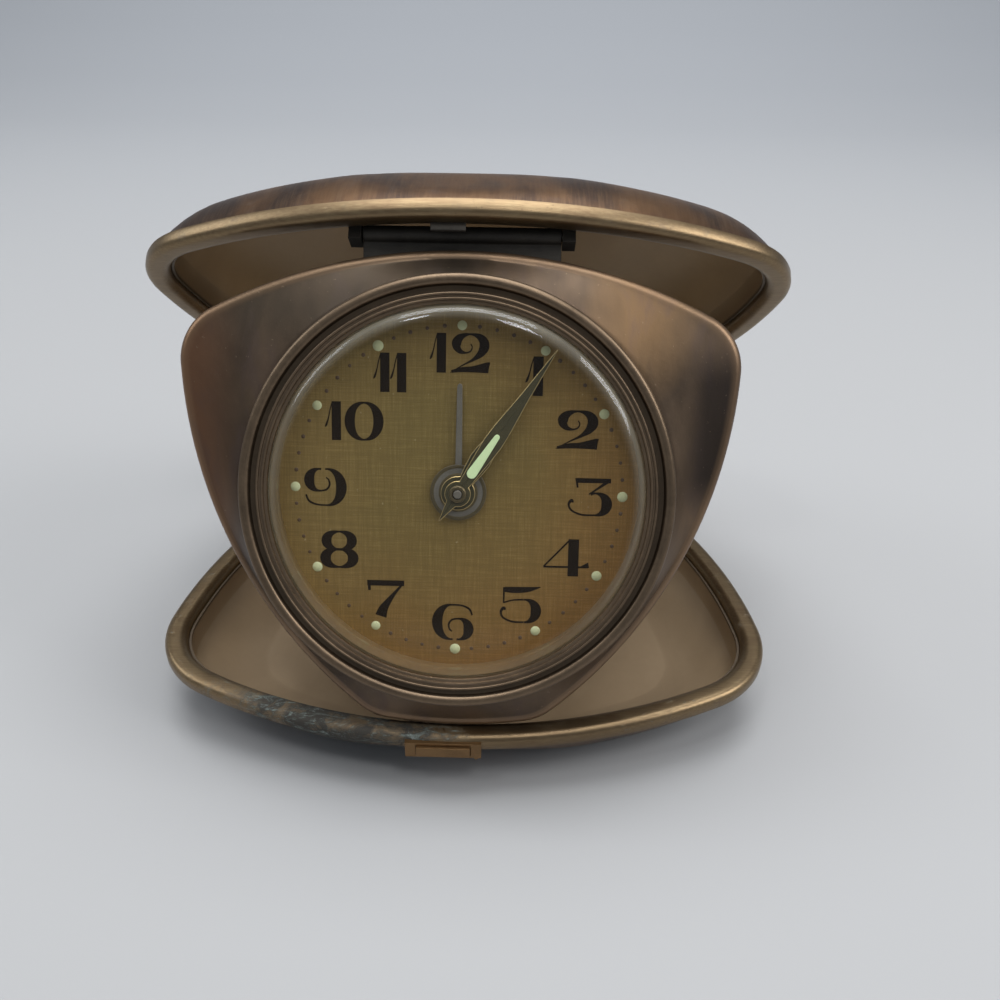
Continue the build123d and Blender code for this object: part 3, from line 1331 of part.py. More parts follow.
def lid_nodes():
    """Pieces fixed to the lid."""
    pieces = {"lid_shell": lid_shell(), "lid_lining": lid_lining(), "lid_hinge_knuckle": lid_hinge(),
              "lid_catch_lug": lid_catch_lug(), "head_hinge_bracket": head_hinge_bracket(),
              "head_hinge_pin": head_hinge_pin()}
    return {name: lid_place() * shape for name, shape in pieces.items()}


def head_nodes():
    """Pieces of the clock head."""
    time_place, alarm_place = BARREL_PLACES
    pieces = {
        "head_case": head_case(), "head_hinge_leaf": head_hinge_leaf(), "bezel_ring": bezel_ring(),
        "crystal": crystal(), "reflector_ring": reflector_ring(), "dial": dial(), "lume_dots": lume_dots(),
        "minute_hand": minute_hand(), "minute_hand_lume": minute_lume(), "hour_hand": hour_hand(),
        "hour_hand_lume": hour_lume(), "alarm_hand": alarm_hand(), "centre_arbor": centre_arbor(),
        "cannon_pinion": cannon_pinion(), "minute_wheel": minute_wheel(), "hour_wheel": hour_wheel(),
        "alarm_wheel": alarm_wheel(), "alarm_set_arbor": alarm_arbor(), "front_plate": front_plate(),
        "back_plate": back_plate(), "plate_pillars": plate_pillars(), "pillar_screws": pillar_screws(),
        "dial_spacer": dial_spacer(), "movement_posts": movement_posts(), "time_barrel": barrel(*time_place),
        "alarm_barrel": barrel(*alarm_place), "time_winding_arbor": winding_arbor(*time_place),
        "alarm_winding_arbor": winding_arbor(*alarm_place), "time_ratchet": ratchet(*time_place),
        "alarm_ratchet": ratchet(*alarm_place), "clicks": clicks(), "time_key": winding_key(*time_place),
        "alarm_key": winding_key(*alarm_place), "centre_wheel": centre_wheel(), "balance_wheel": balance_wheel(),
        "hairspring": hairspring(), "balance_cock": balance_cock(), "alarm_hammer": alarm_hammer(),
        "hammer_stud": hammer_stud(), "alarm_stop": alarm_stop(), "back_cover": back_cover(),
        "cover_screws": cover_screws(), "time_set_knob": knob(TIME_KNOB_RADIUS, 0, 0),
        "alarm_set_knob": knob(ALARM_KNOB_RADIUS, *ALARM_ARBOR_PLACE), "regulator_lever": regulator_lever()}
    return {name: head_place() * shape for name, shape in pieces.items()}


def main():
    """Builds every node and writes each to its own file."""
    os.makedirs("parts", exist_ok=True)
    for nodes in (base_nodes(), lid_nodes(), head_nodes()):
        for name, shape in nodes.items():
            export_step(shape, f"parts/{name}.step")


main()
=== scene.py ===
"""Looks of a folding travel alarm clock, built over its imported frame.

Sizes inside the classes are millimetres. Meshes are written in metres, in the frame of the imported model.
"""

import json
import logging
import math
from dataclasses import dataclass
from enum import Enum
from typing import Iterable, Sequence, Union

import bmesh
import bpy
from mathutils import Matrix, Vector

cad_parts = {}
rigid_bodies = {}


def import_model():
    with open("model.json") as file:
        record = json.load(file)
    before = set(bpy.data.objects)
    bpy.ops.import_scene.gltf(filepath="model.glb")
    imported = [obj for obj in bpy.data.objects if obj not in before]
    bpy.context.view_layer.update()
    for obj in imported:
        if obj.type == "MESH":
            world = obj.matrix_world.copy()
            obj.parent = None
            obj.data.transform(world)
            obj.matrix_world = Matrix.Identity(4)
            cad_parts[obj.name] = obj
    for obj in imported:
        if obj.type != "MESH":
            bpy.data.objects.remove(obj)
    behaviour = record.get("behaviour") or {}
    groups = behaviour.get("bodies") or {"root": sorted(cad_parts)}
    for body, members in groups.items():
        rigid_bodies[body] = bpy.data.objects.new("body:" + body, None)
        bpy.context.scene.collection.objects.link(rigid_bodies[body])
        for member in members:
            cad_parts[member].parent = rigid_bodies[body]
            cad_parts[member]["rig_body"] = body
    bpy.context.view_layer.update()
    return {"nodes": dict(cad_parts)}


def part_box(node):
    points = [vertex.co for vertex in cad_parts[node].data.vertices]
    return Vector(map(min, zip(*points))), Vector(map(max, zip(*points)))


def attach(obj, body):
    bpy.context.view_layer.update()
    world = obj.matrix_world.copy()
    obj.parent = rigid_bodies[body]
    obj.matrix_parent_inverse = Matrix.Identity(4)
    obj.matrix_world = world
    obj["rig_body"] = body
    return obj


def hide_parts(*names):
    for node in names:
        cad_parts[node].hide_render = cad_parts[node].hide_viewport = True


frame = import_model()

LOG = logging.getLogger("folding_clock")

Colour = tuple[float, float, float]
Point = tuple[float, float, float]
Outline = Sequence[tuple[float, float]]
Corners = tuple[int, ...]
Ring = list[Vector]
Arc = tuple[Vector, float]
Operand = Union[bpy.types.NodeSocket, float]

# Metres in a millimetre

MM = 0.001

# Where the sub-assemblies stand in the opened clock, in millimetres and degrees

RIM_HEIGHT = 10.5
HINGE_Y = 42.0
LID_OPENING = 46.0
HEAD_LEAN = 24.4
HEAD_ORIGIN = (0.0, -23.678, 37.593)
DIAL_LEVEL = -1.6


class Place(Enum):
    """Where a sub-assembly's own millimetre frame stands in the opened clock."""

    BASE = "base"
    LID = "lid"
    HEAD = "head"

    def matrix(self) -> Matrix:
        """The transform from this frame to the model.

        Returns:
            The transform, in millimetres.
        """
        if self is Place.BASE:
            return Matrix.Translation((0, 0, RIM_HEIGHT)) @ Matrix.Rotation(math.pi, 4, "X")
        if self is Place.LID:
            swing = Matrix.Translation((0, HINGE_Y, RIM_HEIGHT)) @ Matrix.Rotation(-math.radians(LID_OPENING), 4, "X")
            return swing @ Matrix.Translation((0, -HINGE_Y, 0)) @ Matrix.Rotation(math.pi, 4, "Z")
        return Matrix.Translation(HEAD_ORIGIN) @ Matrix.Rotation(math.radians(90 - HEAD_LEAN), 4, "X")


# Shader arithmetic


class Signal:
    """A socket of a material's node tree with arithmetic, so that patterns read as formulas."""

    def __init__(self, tree: "Finishing", socket: bpy.types.NodeSocket) -> None:
        """Wraps one output socket.

        Args:
            tree: the node tree helper that the socket belongs to.
            socket: the output socket.
        """
        self.tree = tree
        self.socket = socket

    def _sum(self, operation: str, first: "Term", second: "Term") -> "Signal":
        """One Math node on two terms."""
        return self.tree.node("ShaderNodeMath", {"operation": operation}, {0: first, 1: second})

    def __add__(self, other: "Term") -> "Signal":
        """Sum."""
        return self._sum("ADD", self, other)

    def __radd__(self, other: "Term") -> "Signal":
        """Sum, reflected."""
        return self._sum("ADD", other, self)

    def __sub__(self, other: "Term") -> "Signal":
        """Difference."""
        return self._sum("SUBTRACT", self, other)

    def __rsub__(self, other: "Term") -> "Signal":
        """Difference, reflected."""
        return self._sum("SUBTRACT", other, self)

    def __mul__(self, other: "Term") -> "Signal":
        """Product."""
        return self._sum("MULTIPLY", self, other)

    def __rmul__(self, other: "Term") -> "Signal":
        """Product, reflected."""
        return self._sum("MULTIPLY", other, self)

    def __truediv__(self, other: "Term") -> "Signal":
        """Quotient."""
        return self._sum("DIVIDE", self, other)

    def __pow__(self, other: "Term") -> "Signal":
        """Power."""
        return self._sum("POWER", self, other)

    def clamped(self) -> "Signal":
        """The value kept between 0 and 1."""
        return self.tree.node("ShaderNodeClamp", {}, {"Value": self})

    def step(self, low: float, high: float) -> "Signal":
        """A smooth step that is 0 below low and 1 above high, or the other way round."""
        return self.tree.node("ShaderNodeMapRange", {"interpolation_type": "SMOOTHSTEP"},
                              {"Value": self, "From Min": low, "From Max": high}, "Result")


Term = Union[Signal, float, int]


class Finishing:
    """The node tree of one material while its finish is written."""

    def __init__(self, name: str) -> None:
        """Starts an empty material.

        Args:
            name: the material's name.
        """
        self.material = bpy.data.materials.new(name)
        self.material.use_nodes = True
        self.tree = self.material.node_tree
        self.tree.nodes.clear()
        self.output = self.tree.nodes.new("ShaderNodeOutputMaterial")

    def node(self, kind: str, settings: dict, inputs: dict, output: Union[int, str] = 0) -> Signal:
        """Adds a node, with its settings first and then its sockets.

        Args:
            kind: the node's type.
            settings: attributes by name.
            inputs: socket values or signals, by index or name.
            output: the output socket wanted.

        Returns:
            The wanted output as a signal.
        """
        made = self.tree.nodes.new(kind)
        for key, value in settings.items():
            setattr(made, key, value)
        for key, value in inputs.items():
            if isinstance(value, Signal):
                self.tree.links.new(value.socket, made.inputs[key])
            else:
                made.inputs[key].default_value = value
        return Signal(self, made.outputs[output])

    def local(self, place: Place) -> Signal:
        """Object coordinates turned into a sub-assembly's own frame.

        Args:
            place: the sub-assembly's frame.

        Returns:
            The place on the piece, in millimetres.
        """
        matrix = place.matrix()
        coordinates = self.node("ShaderNodeTexCoord", {}, {}, "Object")
        return self.node("ShaderNodeMapping", {"vector_type": "TEXTURE"},
                         {"Vector": coordinates, "Location": matrix.translation * MM,
                          "Rotation": matrix.to_euler(), "Scale": (MM, MM, MM)})

    def stretched(self, vector: Signal, scale: Point, shift: Point = (0.0, 0.0, 0.0)) -> Signal:
        """A vector scaled per axis, to draw a pattern out into streaks.

        Args:
            vector: the place on the piece.
            scale: the scale along each axis.
            shift: how far the pattern is moved.

        Returns:
            The scaled vector.
        """
        return self.node("ShaderNodeMapping", {}, {"Vector": vector, "Scale": scale, "Location": shift})

    def noise(self, vector: Signal, scale: float, detail: float = 4.0, roughness: float = 0.55,
              distortion: float = 0.0) -> Signal:
        """Soft noise around one half.

        Args:
            vector: the place on the piece.
            scale: how fine the noise is.
            detail: how many finer layers it has.
            roughness: how strong the finer layers are.
            distortion: how far it is bent out of shape.

        Returns:
            The noise.
        """
        return self.node("ShaderNodeTexNoise", {}, {"Vector": vector, "Scale": scale, "Detail": detail,
                                                    "Roughness": roughness, "Distortion": distortion}, "Fac")

    def axes(self, vector: Signal) -> tuple[Signal, ...]:
        """The three parts of a vector."""
        parts = self.node("ShaderNodeSeparateXYZ", {}, {"Vector": vector})
        return tuple(Signal(self, socket) for socket in parts.socket.node.outputs)

    def radius(self, vector: Signal) -> Signal:
        """Distance of a place from the axis that its frame's Z runs along."""
        across, up, _ = self.axes(vector)
        return (across * across + up * up) ** 0.5

    def blend(self, factor: Term, first: Union[Signal, Colour], second: Union[Signal, Colour]) -> Signal:
        """Mixes two colours.

        Args:
            factor: how much of the second shows.
            first: a colour or a signal.
            second: the colour or signal mixed in.

        Returns:
            The mixed colour.
        """
        colours = [side if isinstance(side, Signal) else (*side, 1.0) for side in (first, second)]
        return self.node("ShaderNodeMix", {"data_type": "RGBA", "blend_type": "MIX"},
                         {0: factor, 6: colours[0], 7: colours[1]}, 2)

    def relief(self, height: Signal, strength: float, distance: float) -> Signal:
        """A bump from a height."""
        return self.node("ShaderNodeBump", {}, {"Height": height, "Strength": strength, "Distance": distance})

    def surface(self, inputs: dict) -> Signal:
        """A Principled surface with the given sockets."""
        return self.node("ShaderNodeBsdfPrincipled", {}, inputs)

    def done(self, shader: Signal) -> bpy.types.Material:
        """Joins the shader to the output and returns the material."""
        self.tree.links.new(shader.socket, self.output.inputs["Surface"])
        return self.material


# Finishes


@dataclass(frozen=True)
class Finish:
    """What every finish has: a name, and nodes that its own kind writes."""

    name: str

    def shader(self, tree: Finishing) -> Signal:
        """Writes the finish's nodes.

        Args:
            tree: the material's node tree.

        Returns:
            The shader that the surface shows.
        """
        raise NotImplementedError

    def material(self) -> bpy.types.Material:
        """Makes the material of this finish.

        Returns:
            The material, ready to go on a piece.
        """
        tree = Finishing(self.name)
        return tree.done(self.shader(tree))


@dataclass(frozen=True)
class PressedBrass(Finish):
    """Old pressed brass: a rubbed lip, a browned and brushed dome, and where asked green corrosion and a painted shade
    on the front of the lip.
    """

    place: Place
    pale: Colour = (0.235, 0.172, 0.092)
    deep: Colour = (0.135, 0.085, 0.05)
    stain: Colour = (0.06, 0.045, 0.038)
    rubbed: Colour = (0.34, 0.26, 0.145)
    brown: Colour = (0.060, 0.039, 0.030)
    copper: Colour = (0.158, 0.086, 0.043)
    pale_stroke: Colour = (0.180, 0.114, 0.066)
    dark_stroke: Colour = (0.060, 0.038, 0.028)
    corroded: bool = False
    # Painted shade on the front of the base's lip, right of the middle.
    front_shade: Colour = (0.095, 0.064, 0.036)
    crust: Colour = (0.028, 0.024, 0.018)
    green: Colour = (0.165, 0.20, 0.18)
    bloom: Colour = (0.30, 0.35, 0.33)
    patch_centre: float = -15.0
    patch_reach: float = 18.5

    def _corrosion(self, tree: Finishing, spot: Signal, across: Signal, along: Signal) -> tuple[Signal, Signal, Signal]:
        """The corroded patch on the front of the lip.

        Args:
            tree: the material's node tree.
            spot: the place on the shell, in millimetres.
            across: its part across the shell.
            along: its part towards the front.

        Returns:
            Where the patch is, its colour and the height of its crust.
        """
        place = (across - self.patch_centre) / self.patch_reach
        patch = (1.0 - place * place).clamped() * along.step(24.0, 32.0)
        bloom = tree.noise(spot, 0.26, 8.0, 0.74, 0.8)
        drift = tree.noise(tree.stretched(spot, (0.30, 0.9, 0.9)), 1.0, 8.0, 0.75, 1.6)
        mask = ((patch * 0.8 + bloom * 2.3 + drift - 1.86) * 1.9).clamped()
        crust = tree.blend(drift.step(0.50, 0.70), self.crust, self.green)
        crust = tree.blend(bloom.step(0.60, 0.72) * 0.55, crust, self.bloom)
        return mask, crust, mask * bloom * 1.6

    def shader(self, tree: Finishing) -> Signal:
        """Writes the finish's nodes.

        Args:
            tree: the material's node tree.

        Returns:
            The shader.
        """
        spot = tree.local(self.place)
        across, along, rise = tree.axes(spot)
        brushing = tree.noise(tree.stretched(spot, (0.18, 3.4, 3.4)), 1.6, 6.0, 0.62)
        strokes = tree.noise(tree.stretched(spot, (3.6, 0.16, 0.22)), 1.0, 6.0, 0.66)
        flame = tree.noise(tree.stretched(spot, (0.14, 0.045, 0.08)), 1.0, 5.0, 0.6, 0.5)
        cloud = tree.noise(spot, 0.055, 5.0, 0.6, 0.6)
        mottling = tree.noise(spot, 0.42, 6.0, 0.68)
        pitting = tree.noise(spot, 2.6, 3.0, 0.6).step(0.66, 0.74)
        lip = rise.step(2.1, 1.4)
        tone = (cloud * 0.9 + mottling * 0.45 + brushing * 0.28 - 0.36).clamped()
        colour = tree.blend(tone, self.deep, self.pale)
        dome = tree.blend(flame.step(0.32, 0.66), self.brown, self.copper)
        dome = tree.blend(strokes.step(0.42, 0.66) * 0.40, dome, self.pale_stroke)
        dome = tree.blend(strokes.step(0.48, 0.32) * 0.24, dome, self.dark_stroke)
        colour = tree.blend(rise.step(1.95, 2.5), colour, dome)
        colour = tree.blend((mottling.step(0.55, 0.75) * 0.45).clamped(), colour, self.stain)
        colour = tree.blend(pitting * 0.6, colour, self.stain)
        colour = tree.blend(lip * brushing.step(0.35, 0.75) * 0.3, colour, self.rubbed)
        roughness = 0.30 + mottling * 0.22 + pitting * 0.2 - lip * 0.05
        metallic = 0.92 - mottling.step(0.55, 0.8) * 0.3
        height = brushing * 0.25 + mottling * 0.4 - pitting * 0.5
        if self.corroded:
            # Painted shade on the front of the lip, right of the middle, then the corrosion.
            shade = along.step(30.0, 36.0) * across.step(-2.0, 6.0) * 0.45
            colour = tree.blend(shade, colour, self.front_shade)
            mask, crust, thickness = self._corrosion(tree, spot, across, along)
            colour = tree.blend(mask, colour, crust)
            roughness = roughness + mask * 0.45
            metallic = metallic * (1.0 - mask)
            height = height + thickness
        return tree.surface({"Base Color": colour, "Roughness": roughness, "Metallic": metallic,
                             "Normal": tree.relief(height, 0.35, 0.00012)})


@dataclass(frozen=True)
class SmokedCopper(Finish):
    """The head's pressed panel: copper with smoky streaks that run from top to foot, a painted patch of light at the
    upper right, painted shade at the upper left and down the right side, and a rubbed edge with a painted highlight.
    """

    smoke: Colour = (0.030, 0.023, 0.018)
    copper: Colour = (0.148, 0.099, 0.062)
    glow: Colour = (0.20, 0.118, 0.054)
    # Painted light: a bright patch at the upper right.
    rust: Colour = (0.175, 0.085, 0.046)
    violet: Colour = (0.080, 0.056, 0.050)
    # Painted shade at the upper left.
    brow: Colour = (0.045, 0.036, 0.025)
    # A painted shadow down the right side.
    shade: Colour = (0.022, 0.017, 0.015)
    # The rounded edge's colour: rubbed copper and a painted highlight.
    worn: Colour = (0.30, 0.19, 0.11)
    fleck: Colour = (0.30, 0.22, 0.15)
    # Where the painted light patch lies and how far it reaches.
    glow_place: tuple[float, float] = (20.5, 20.0)
    glow_reach: tuple[float, float] = (7.0, 9.5)

    def shader(self, tree: Finishing) -> Signal:
        """Writes the finish's nodes.

        Args:
            tree: the material's node tree.

        Returns:
            The shader.
        """
        spot = tree.local(Place.HEAD)
        across, up, depth = tree.axes(spot)
        smoke = tree.noise(tree.stretched(spot, (0.085, 0.028, 0.05), (3.1, 0.4, 0.0)), 1.0, 5.0, 0.55, 1.1)
        veil = tree.noise(tree.stretched(spot, (0.30, 0.10, 0.2)), 1.0, 6.0, 0.6, 0.5)
        grain = tree.noise(tree.stretched(spot, (2.2, 1.2, 2.2)), 1.4, 5.0, 0.6)
        freckle = tree.noise(spot, 1.9, 3.0, 0.6).step(0.68, 0.74)
        colour = tree.blend((smoke * 1.9 - 0.45).clamped(), self.smoke, self.copper)
        # A painted patch of light at the upper right.
        painted_light_x = (across - self.glow_place[0]) / self.glow_reach[0]
        painted_light_y = (up - self.glow_place[1]) / self.glow_reach[1]
        glow = (1.0 - painted_light_x * painted_light_x - painted_light_y * painted_light_y).clamped()
        # Painted shade at the upper left.
        brow = up.step(15.5, 22.0) * across.step(9.0, -3.0)
        # A painted shadow down the right side.
        shade = across.step(24.5, 29.0) * up.step(-3.0, 3.0) * up.step(19.5, 13.0)
        # The rounded edge, rubbed and with a painted highlight.
        edge = depth.step(0.12, -0.12) * depth.step(-0.9, -0.4)
        for mask, tint in (((glow * (0.15 + veil * 0.9)).clamped(), self.glow),
                           (across.step(-24.0, -31.5) * 0.75, self.rust), (veil.step(0.48, 0.7) * 0.45, self.violet),
                           (brow * 0.5, self.brow), (shade * (0.55 + smoke * 0.5), self.shade),
                           (edge * 0.40, self.worn), (freckle * 0.35, self.fleck)):
            colour = tree.blend(mask, colour, tint)
        return tree.surface({"Base Color": colour, "Roughness": 0.26 + veil * 0.2 + grain * 0.12, "Metallic": 0.86,
                             "Normal": tree.relief(grain * 0.5 + veil * 0.6, 0.16, 0.0001)})


@dataclass(frozen=True)
class TurnedBrass(Finish):
    """Turned metal with the fine rings of the lathe and a dark groove outside its beads."""

    bright: Colour = (0.235, 0.165, 0.105)
    dull: Colour = (0.050, 0.036, 0.025)
    grime: Colour = (0.024, 0.018, 0.012)
    groove_outer: tuple[float, float] = (24.15, 23.95)
    groove_inner: tuple[float, float] = (23.15, 23.3)

    def shader(self, tree: Finishing) -> Signal:
        """Writes the finish's nodes.

        Args:
            tree: the material's node tree.

        Returns:
            The shader.
        """
        spot = tree.local(Place.HEAD)
        radius = tree.radius(spot)
        turning = tree.node("ShaderNodeTexNoise", {"noise_dimensions": "1D"},
                            {"W": radius, "Scale": 9.0, "Detail": 5.0, "Roughness": 0.7}, "Fac")
        cloud = tree.noise(spot, 0.16, 5.0, 0.6, 0.4)
        speck = tree.noise(spot, 2.4, 4.0, 0.62)
        colour = tree.blend((turning * 0.5 + cloud * 0.75 + speck * 0.3 - 0.3).clamped(), self.dull, self.bright)
        # Darker in the groove between the beads.
        groove = radius.step(*self.groove_outer) * radius.step(*self.groove_inner)
        colour = tree.blend(groove * 0.55, colour, self.grime)
        return tree.surface({"Base Color": colour, "Roughness": 0.24 + speck * 0.16 + cloud * 0.12, "Metallic": 0.9,
                             "Normal": tree.relief(turning * 0.6 + speck * 0.4, 0.2, 0.00005)})


@dataclass(frozen=True)
class BrushedDial(Finish):
    """Gilt metal brushed both ways like linen, browner towards its lower and right edges."""

    gilt: Colour = (0.205, 0.145, 0.045)
    amber: Colour = (0.265, 0.135, 0.036)
    left_side: Colour = (0.29, 0.20, 0.068)
    dark_thread: Colour = (0.125, 0.085, 0.024)
    pale_thread: Colour = (0.36, 0.26, 0.10)
    fleck: Colour = (0.5, 0.42, 0.25)

    def shader(self, tree: Finishing) -> Signal:
        """Writes the finish's nodes.

        Args:
            tree: the material's node tree.

        Returns:
            The shader.
        """
        spot = tree.local(Place.HEAD)
        across, up, _ = tree.axes(spot)
        weft = tree.noise(tree.stretched(spot, (0.16, 5.2, 1.0)), 1.5, 5.0, 0.65)
        warp = tree.noise(tree.stretched(spot, (5.2, 0.16, 1.0)), 1.5, 5.0, 0.65)
        cloud = tree.noise(spot, 0.09, 4.0, 0.55, 0.5)
        linen = weft * 0.5 + warp * 0.5
        lean = (across * 0.5 - up * 0.55) / 20.0
        warmth = (tree.radius(spot).step(7.0, 21.0) * 0.5 + lean * 0.55 + cloud * 0.5 - 0.12).clamped()
        colour = tree.blend(warmth, self.gilt, self.amber)
        colour = tree.blend(across.step(-6.0, -20.0) * 0.5, colour, self.left_side)
        colour = tree.blend((linen.step(0.38, 0.66) * 0.5).clamped(), colour, self.dark_thread)
        colour = tree.blend((1.0 - linen).step(0.50, 0.64) * 0.30, colour, self.pale_thread)
        colour = tree.blend(tree.noise(spot, 1.7, 2.0, 0.5).step(0.74, 0.78) * 0.4, colour, self.fleck)
        return tree.surface({"Base Color": colour, "Roughness": 0.42 + linen * 0.18, "Metallic": 0.62,
                             "Normal": tree.relief(linen, 0.30, 0.00006)})


@dataclass(frozen=True)
class Acrylic(Finish):
    """The domed window: clear, with a painted whitish refraction band where its edge turns down."""

    refraction: float = 1.49
    gloss: float = 0.55
    band: tuple[float, float] = (20.0, 21.9)
    # The colour of the painted refraction band.
    milk: Colour = (0.50, 0.47, 0.38)
    tint: Colour = (0.99, 0.99, 0.975)

    def shader(self, tree: Finishing) -> Signal:
        """Writes the finish's nodes.

        Args:
            tree: the material's node tree.

        Returns:
            The shader.
        """
        spot = tree.local(Place.HEAD)
        _, up, _ = tree.axes(spot)
        band_noise = tree.noise(spot, 0.12, 3.0, 0.5)
        # A painted refraction band round the edge, uneven and brighter towards the top.
        band = tree.radius(spot).step(*self.band) * (0.10 + band_noise * 0.25) * (0.75 + up * 0.02)
        facing = 1.0 - tree.node("ShaderNodeNewGeometry", {}, {}, "Backfacing")
        mirroring = tree.node("ShaderNodeFresnel", {}, {"IOR": self.refraction}) * facing
        scratch = tree.noise(tree.stretched(spot, (0.5, 4.0, 1.0)), 1.2, 5.0, 0.7)
        clear = tree.node("ShaderNodeBsdfTransparent", {}, {"Color": (*self.tint, 1.0)})
        mirror = tree.surface({"Base Color": (1.0, 1.0, 1.0, 1.0), "Metallic": 1.0, "Roughness": 0.03 + scratch * 0.05})
        milk = tree.surface({"Base Color": (*self.milk, 1.0), "Roughness": 0.25, "Coat Weight": 1.0})
        shine = tree.node("ShaderNodeMixShader", {}, {0: (mirroring * self.gloss).clamped(), 1: clear, 2: mirror})
        return tree.node("ShaderNodeMixShader", {}, {0: (band * facing).clamped(), 1: shine, 2: milk})


@dataclass(frozen=True)
class Lining(Finish):
    """The beige coat inside the shells, smooth and a little shiny, with painted shade under the lip and, where asked, a
    painted shadow behind the head's hinge.
    """

    place: Place
    pale: Colour = (0.43, 0.315, 0.195)
    deep: Colour = (0.27, 0.19, 0.112)
    # Painted shade along the lining's edge under the lip.
    edge: Colour = (0.055, 0.038, 0.022)
    # The colour of the painted shadow behind the head's hinge.
    black: Colour = (0.016, 0.012, 0.008)
    soot: float = 0.0

    def shader(self, tree: Finishing) -> Signal:
        """Writes the finish's nodes.

        Args:
            tree: the material's node tree.

        Returns:
            The shader.
        """
        spot = tree.local(self.place)
        across, along, rise = tree.axes(spot)
        cloud = tree.noise(spot, 0.05, 4.0, 0.55, 0.8)
        speck = tree.noise(spot, 1.1, 5.0, 0.6)
        smudge = tree.noise(tree.stretched(spot, (0.10, 0.05, 0.08)), 1.0, 5.0, 0.6, 1.2)
        # Darker towards the rim and darkest along the lining's edge: painted shade under the lip.
        tone = (cloud * 0.9 + smudge * 0.5 + speck * 0.16 - 0.3 - rise.step(6.0, 2.0) * 0.35).clamped()
        colour = tree.blend(tone, self.deep, self.pale)
        colour = tree.blend(rise.step(1.9, 1.5) * 0.85, colour, self.edge)
        # A painted shadow on the lid's lining behind the head's hinge.
        if self.soot:
            near = (1.0 - across * across / 330.0).clamped() * along.step(21.0, 27.0)
            colour = tree.blend(near.step(0.0, 0.5) * self.soot, colour, self.black)
        return tree.surface({"Base Color": colour, "Roughness": 0.34 + smudge * 0.2, "Metallic": 0.35,
                             "Normal": tree.relief(speck, 0.12, 0.00006)})


@dataclass(frozen=True)
class WornMetal(Finish):
    """Small metal parts: one metal with specks, fine brushing and rubbed spots."""

    place: Place
    bright: Colour
    dark: Colour
    metallic: float = 0.9
    roughness: float = 0.3
    rubbing: float = 0.35

    def shader(self, tree: Finishing) -> Signal:
        """Writes the finish's nodes.

        Args:
            tree: the material's node tree.

        Returns:
            The shader.
        """
        spot = tree.local(self.place)
        brushing = tree.noise(tree.stretched(spot, (0.5, 4.5, 4.5)), 1.3, 5.0, 0.62)
        cloud = tree.noise(spot, 0.35, 5.0, 0.6, 0.4)
        speck = tree.noise(spot, 3.2, 4.0, 0.6)
        tone = (cloud * self.rubbing * 2.0 + brushing * 0.5 + speck * 0.35 - 0.25).clamped()
        return tree.surface({"Base Color": tree.blend(tone, self.dark, self.bright),
                             "Roughness": self.roughness + speck * 0.2, "Metallic": self.metallic,
                             "Normal": tree.relief(brushing * 0.5 + speck * 0.5, 0.2, 0.00005)})


@dataclass(frozen=True)
class Paint(Finish):
    """Ink, lume paste and enamel: a grainy coat that isn't metal, with a painted glow where asked."""

    thick: Colour
    thin: Colour
    roughness: float = 0.5
    grain: float = 3.0
    glow: float = 0.0
    gloss: float = 0.5

    def shader(self, tree: Finishing) -> Signal:
        """Writes the finish's nodes.

        Args:
            tree: the material's node tree.

        Returns:
            The shader.
        """
        spot = tree.local(Place.HEAD)
        grain = tree.noise(spot, self.grain, 5.0, 0.65)
        colour = tree.blend((tree.noise(spot, 0.5, 4.0, 0.6) * 0.7 + grain * 0.7 - 0.2).clamped(), self.thin,
                            self.thick)
        inputs = {"Base Color": colour, "Roughness": self.roughness + grain * 0.15,
                  "Specular IOR Level": self.gloss, "Normal": tree.relief(grain, 0.3, 0.00005)}
        # The emission is a painted glow.
        if self.glow:
            inputs.update({"Emission Color": colour, "Emission Strength": self.glow})
        return tree.surface(inputs)


# Mesh making


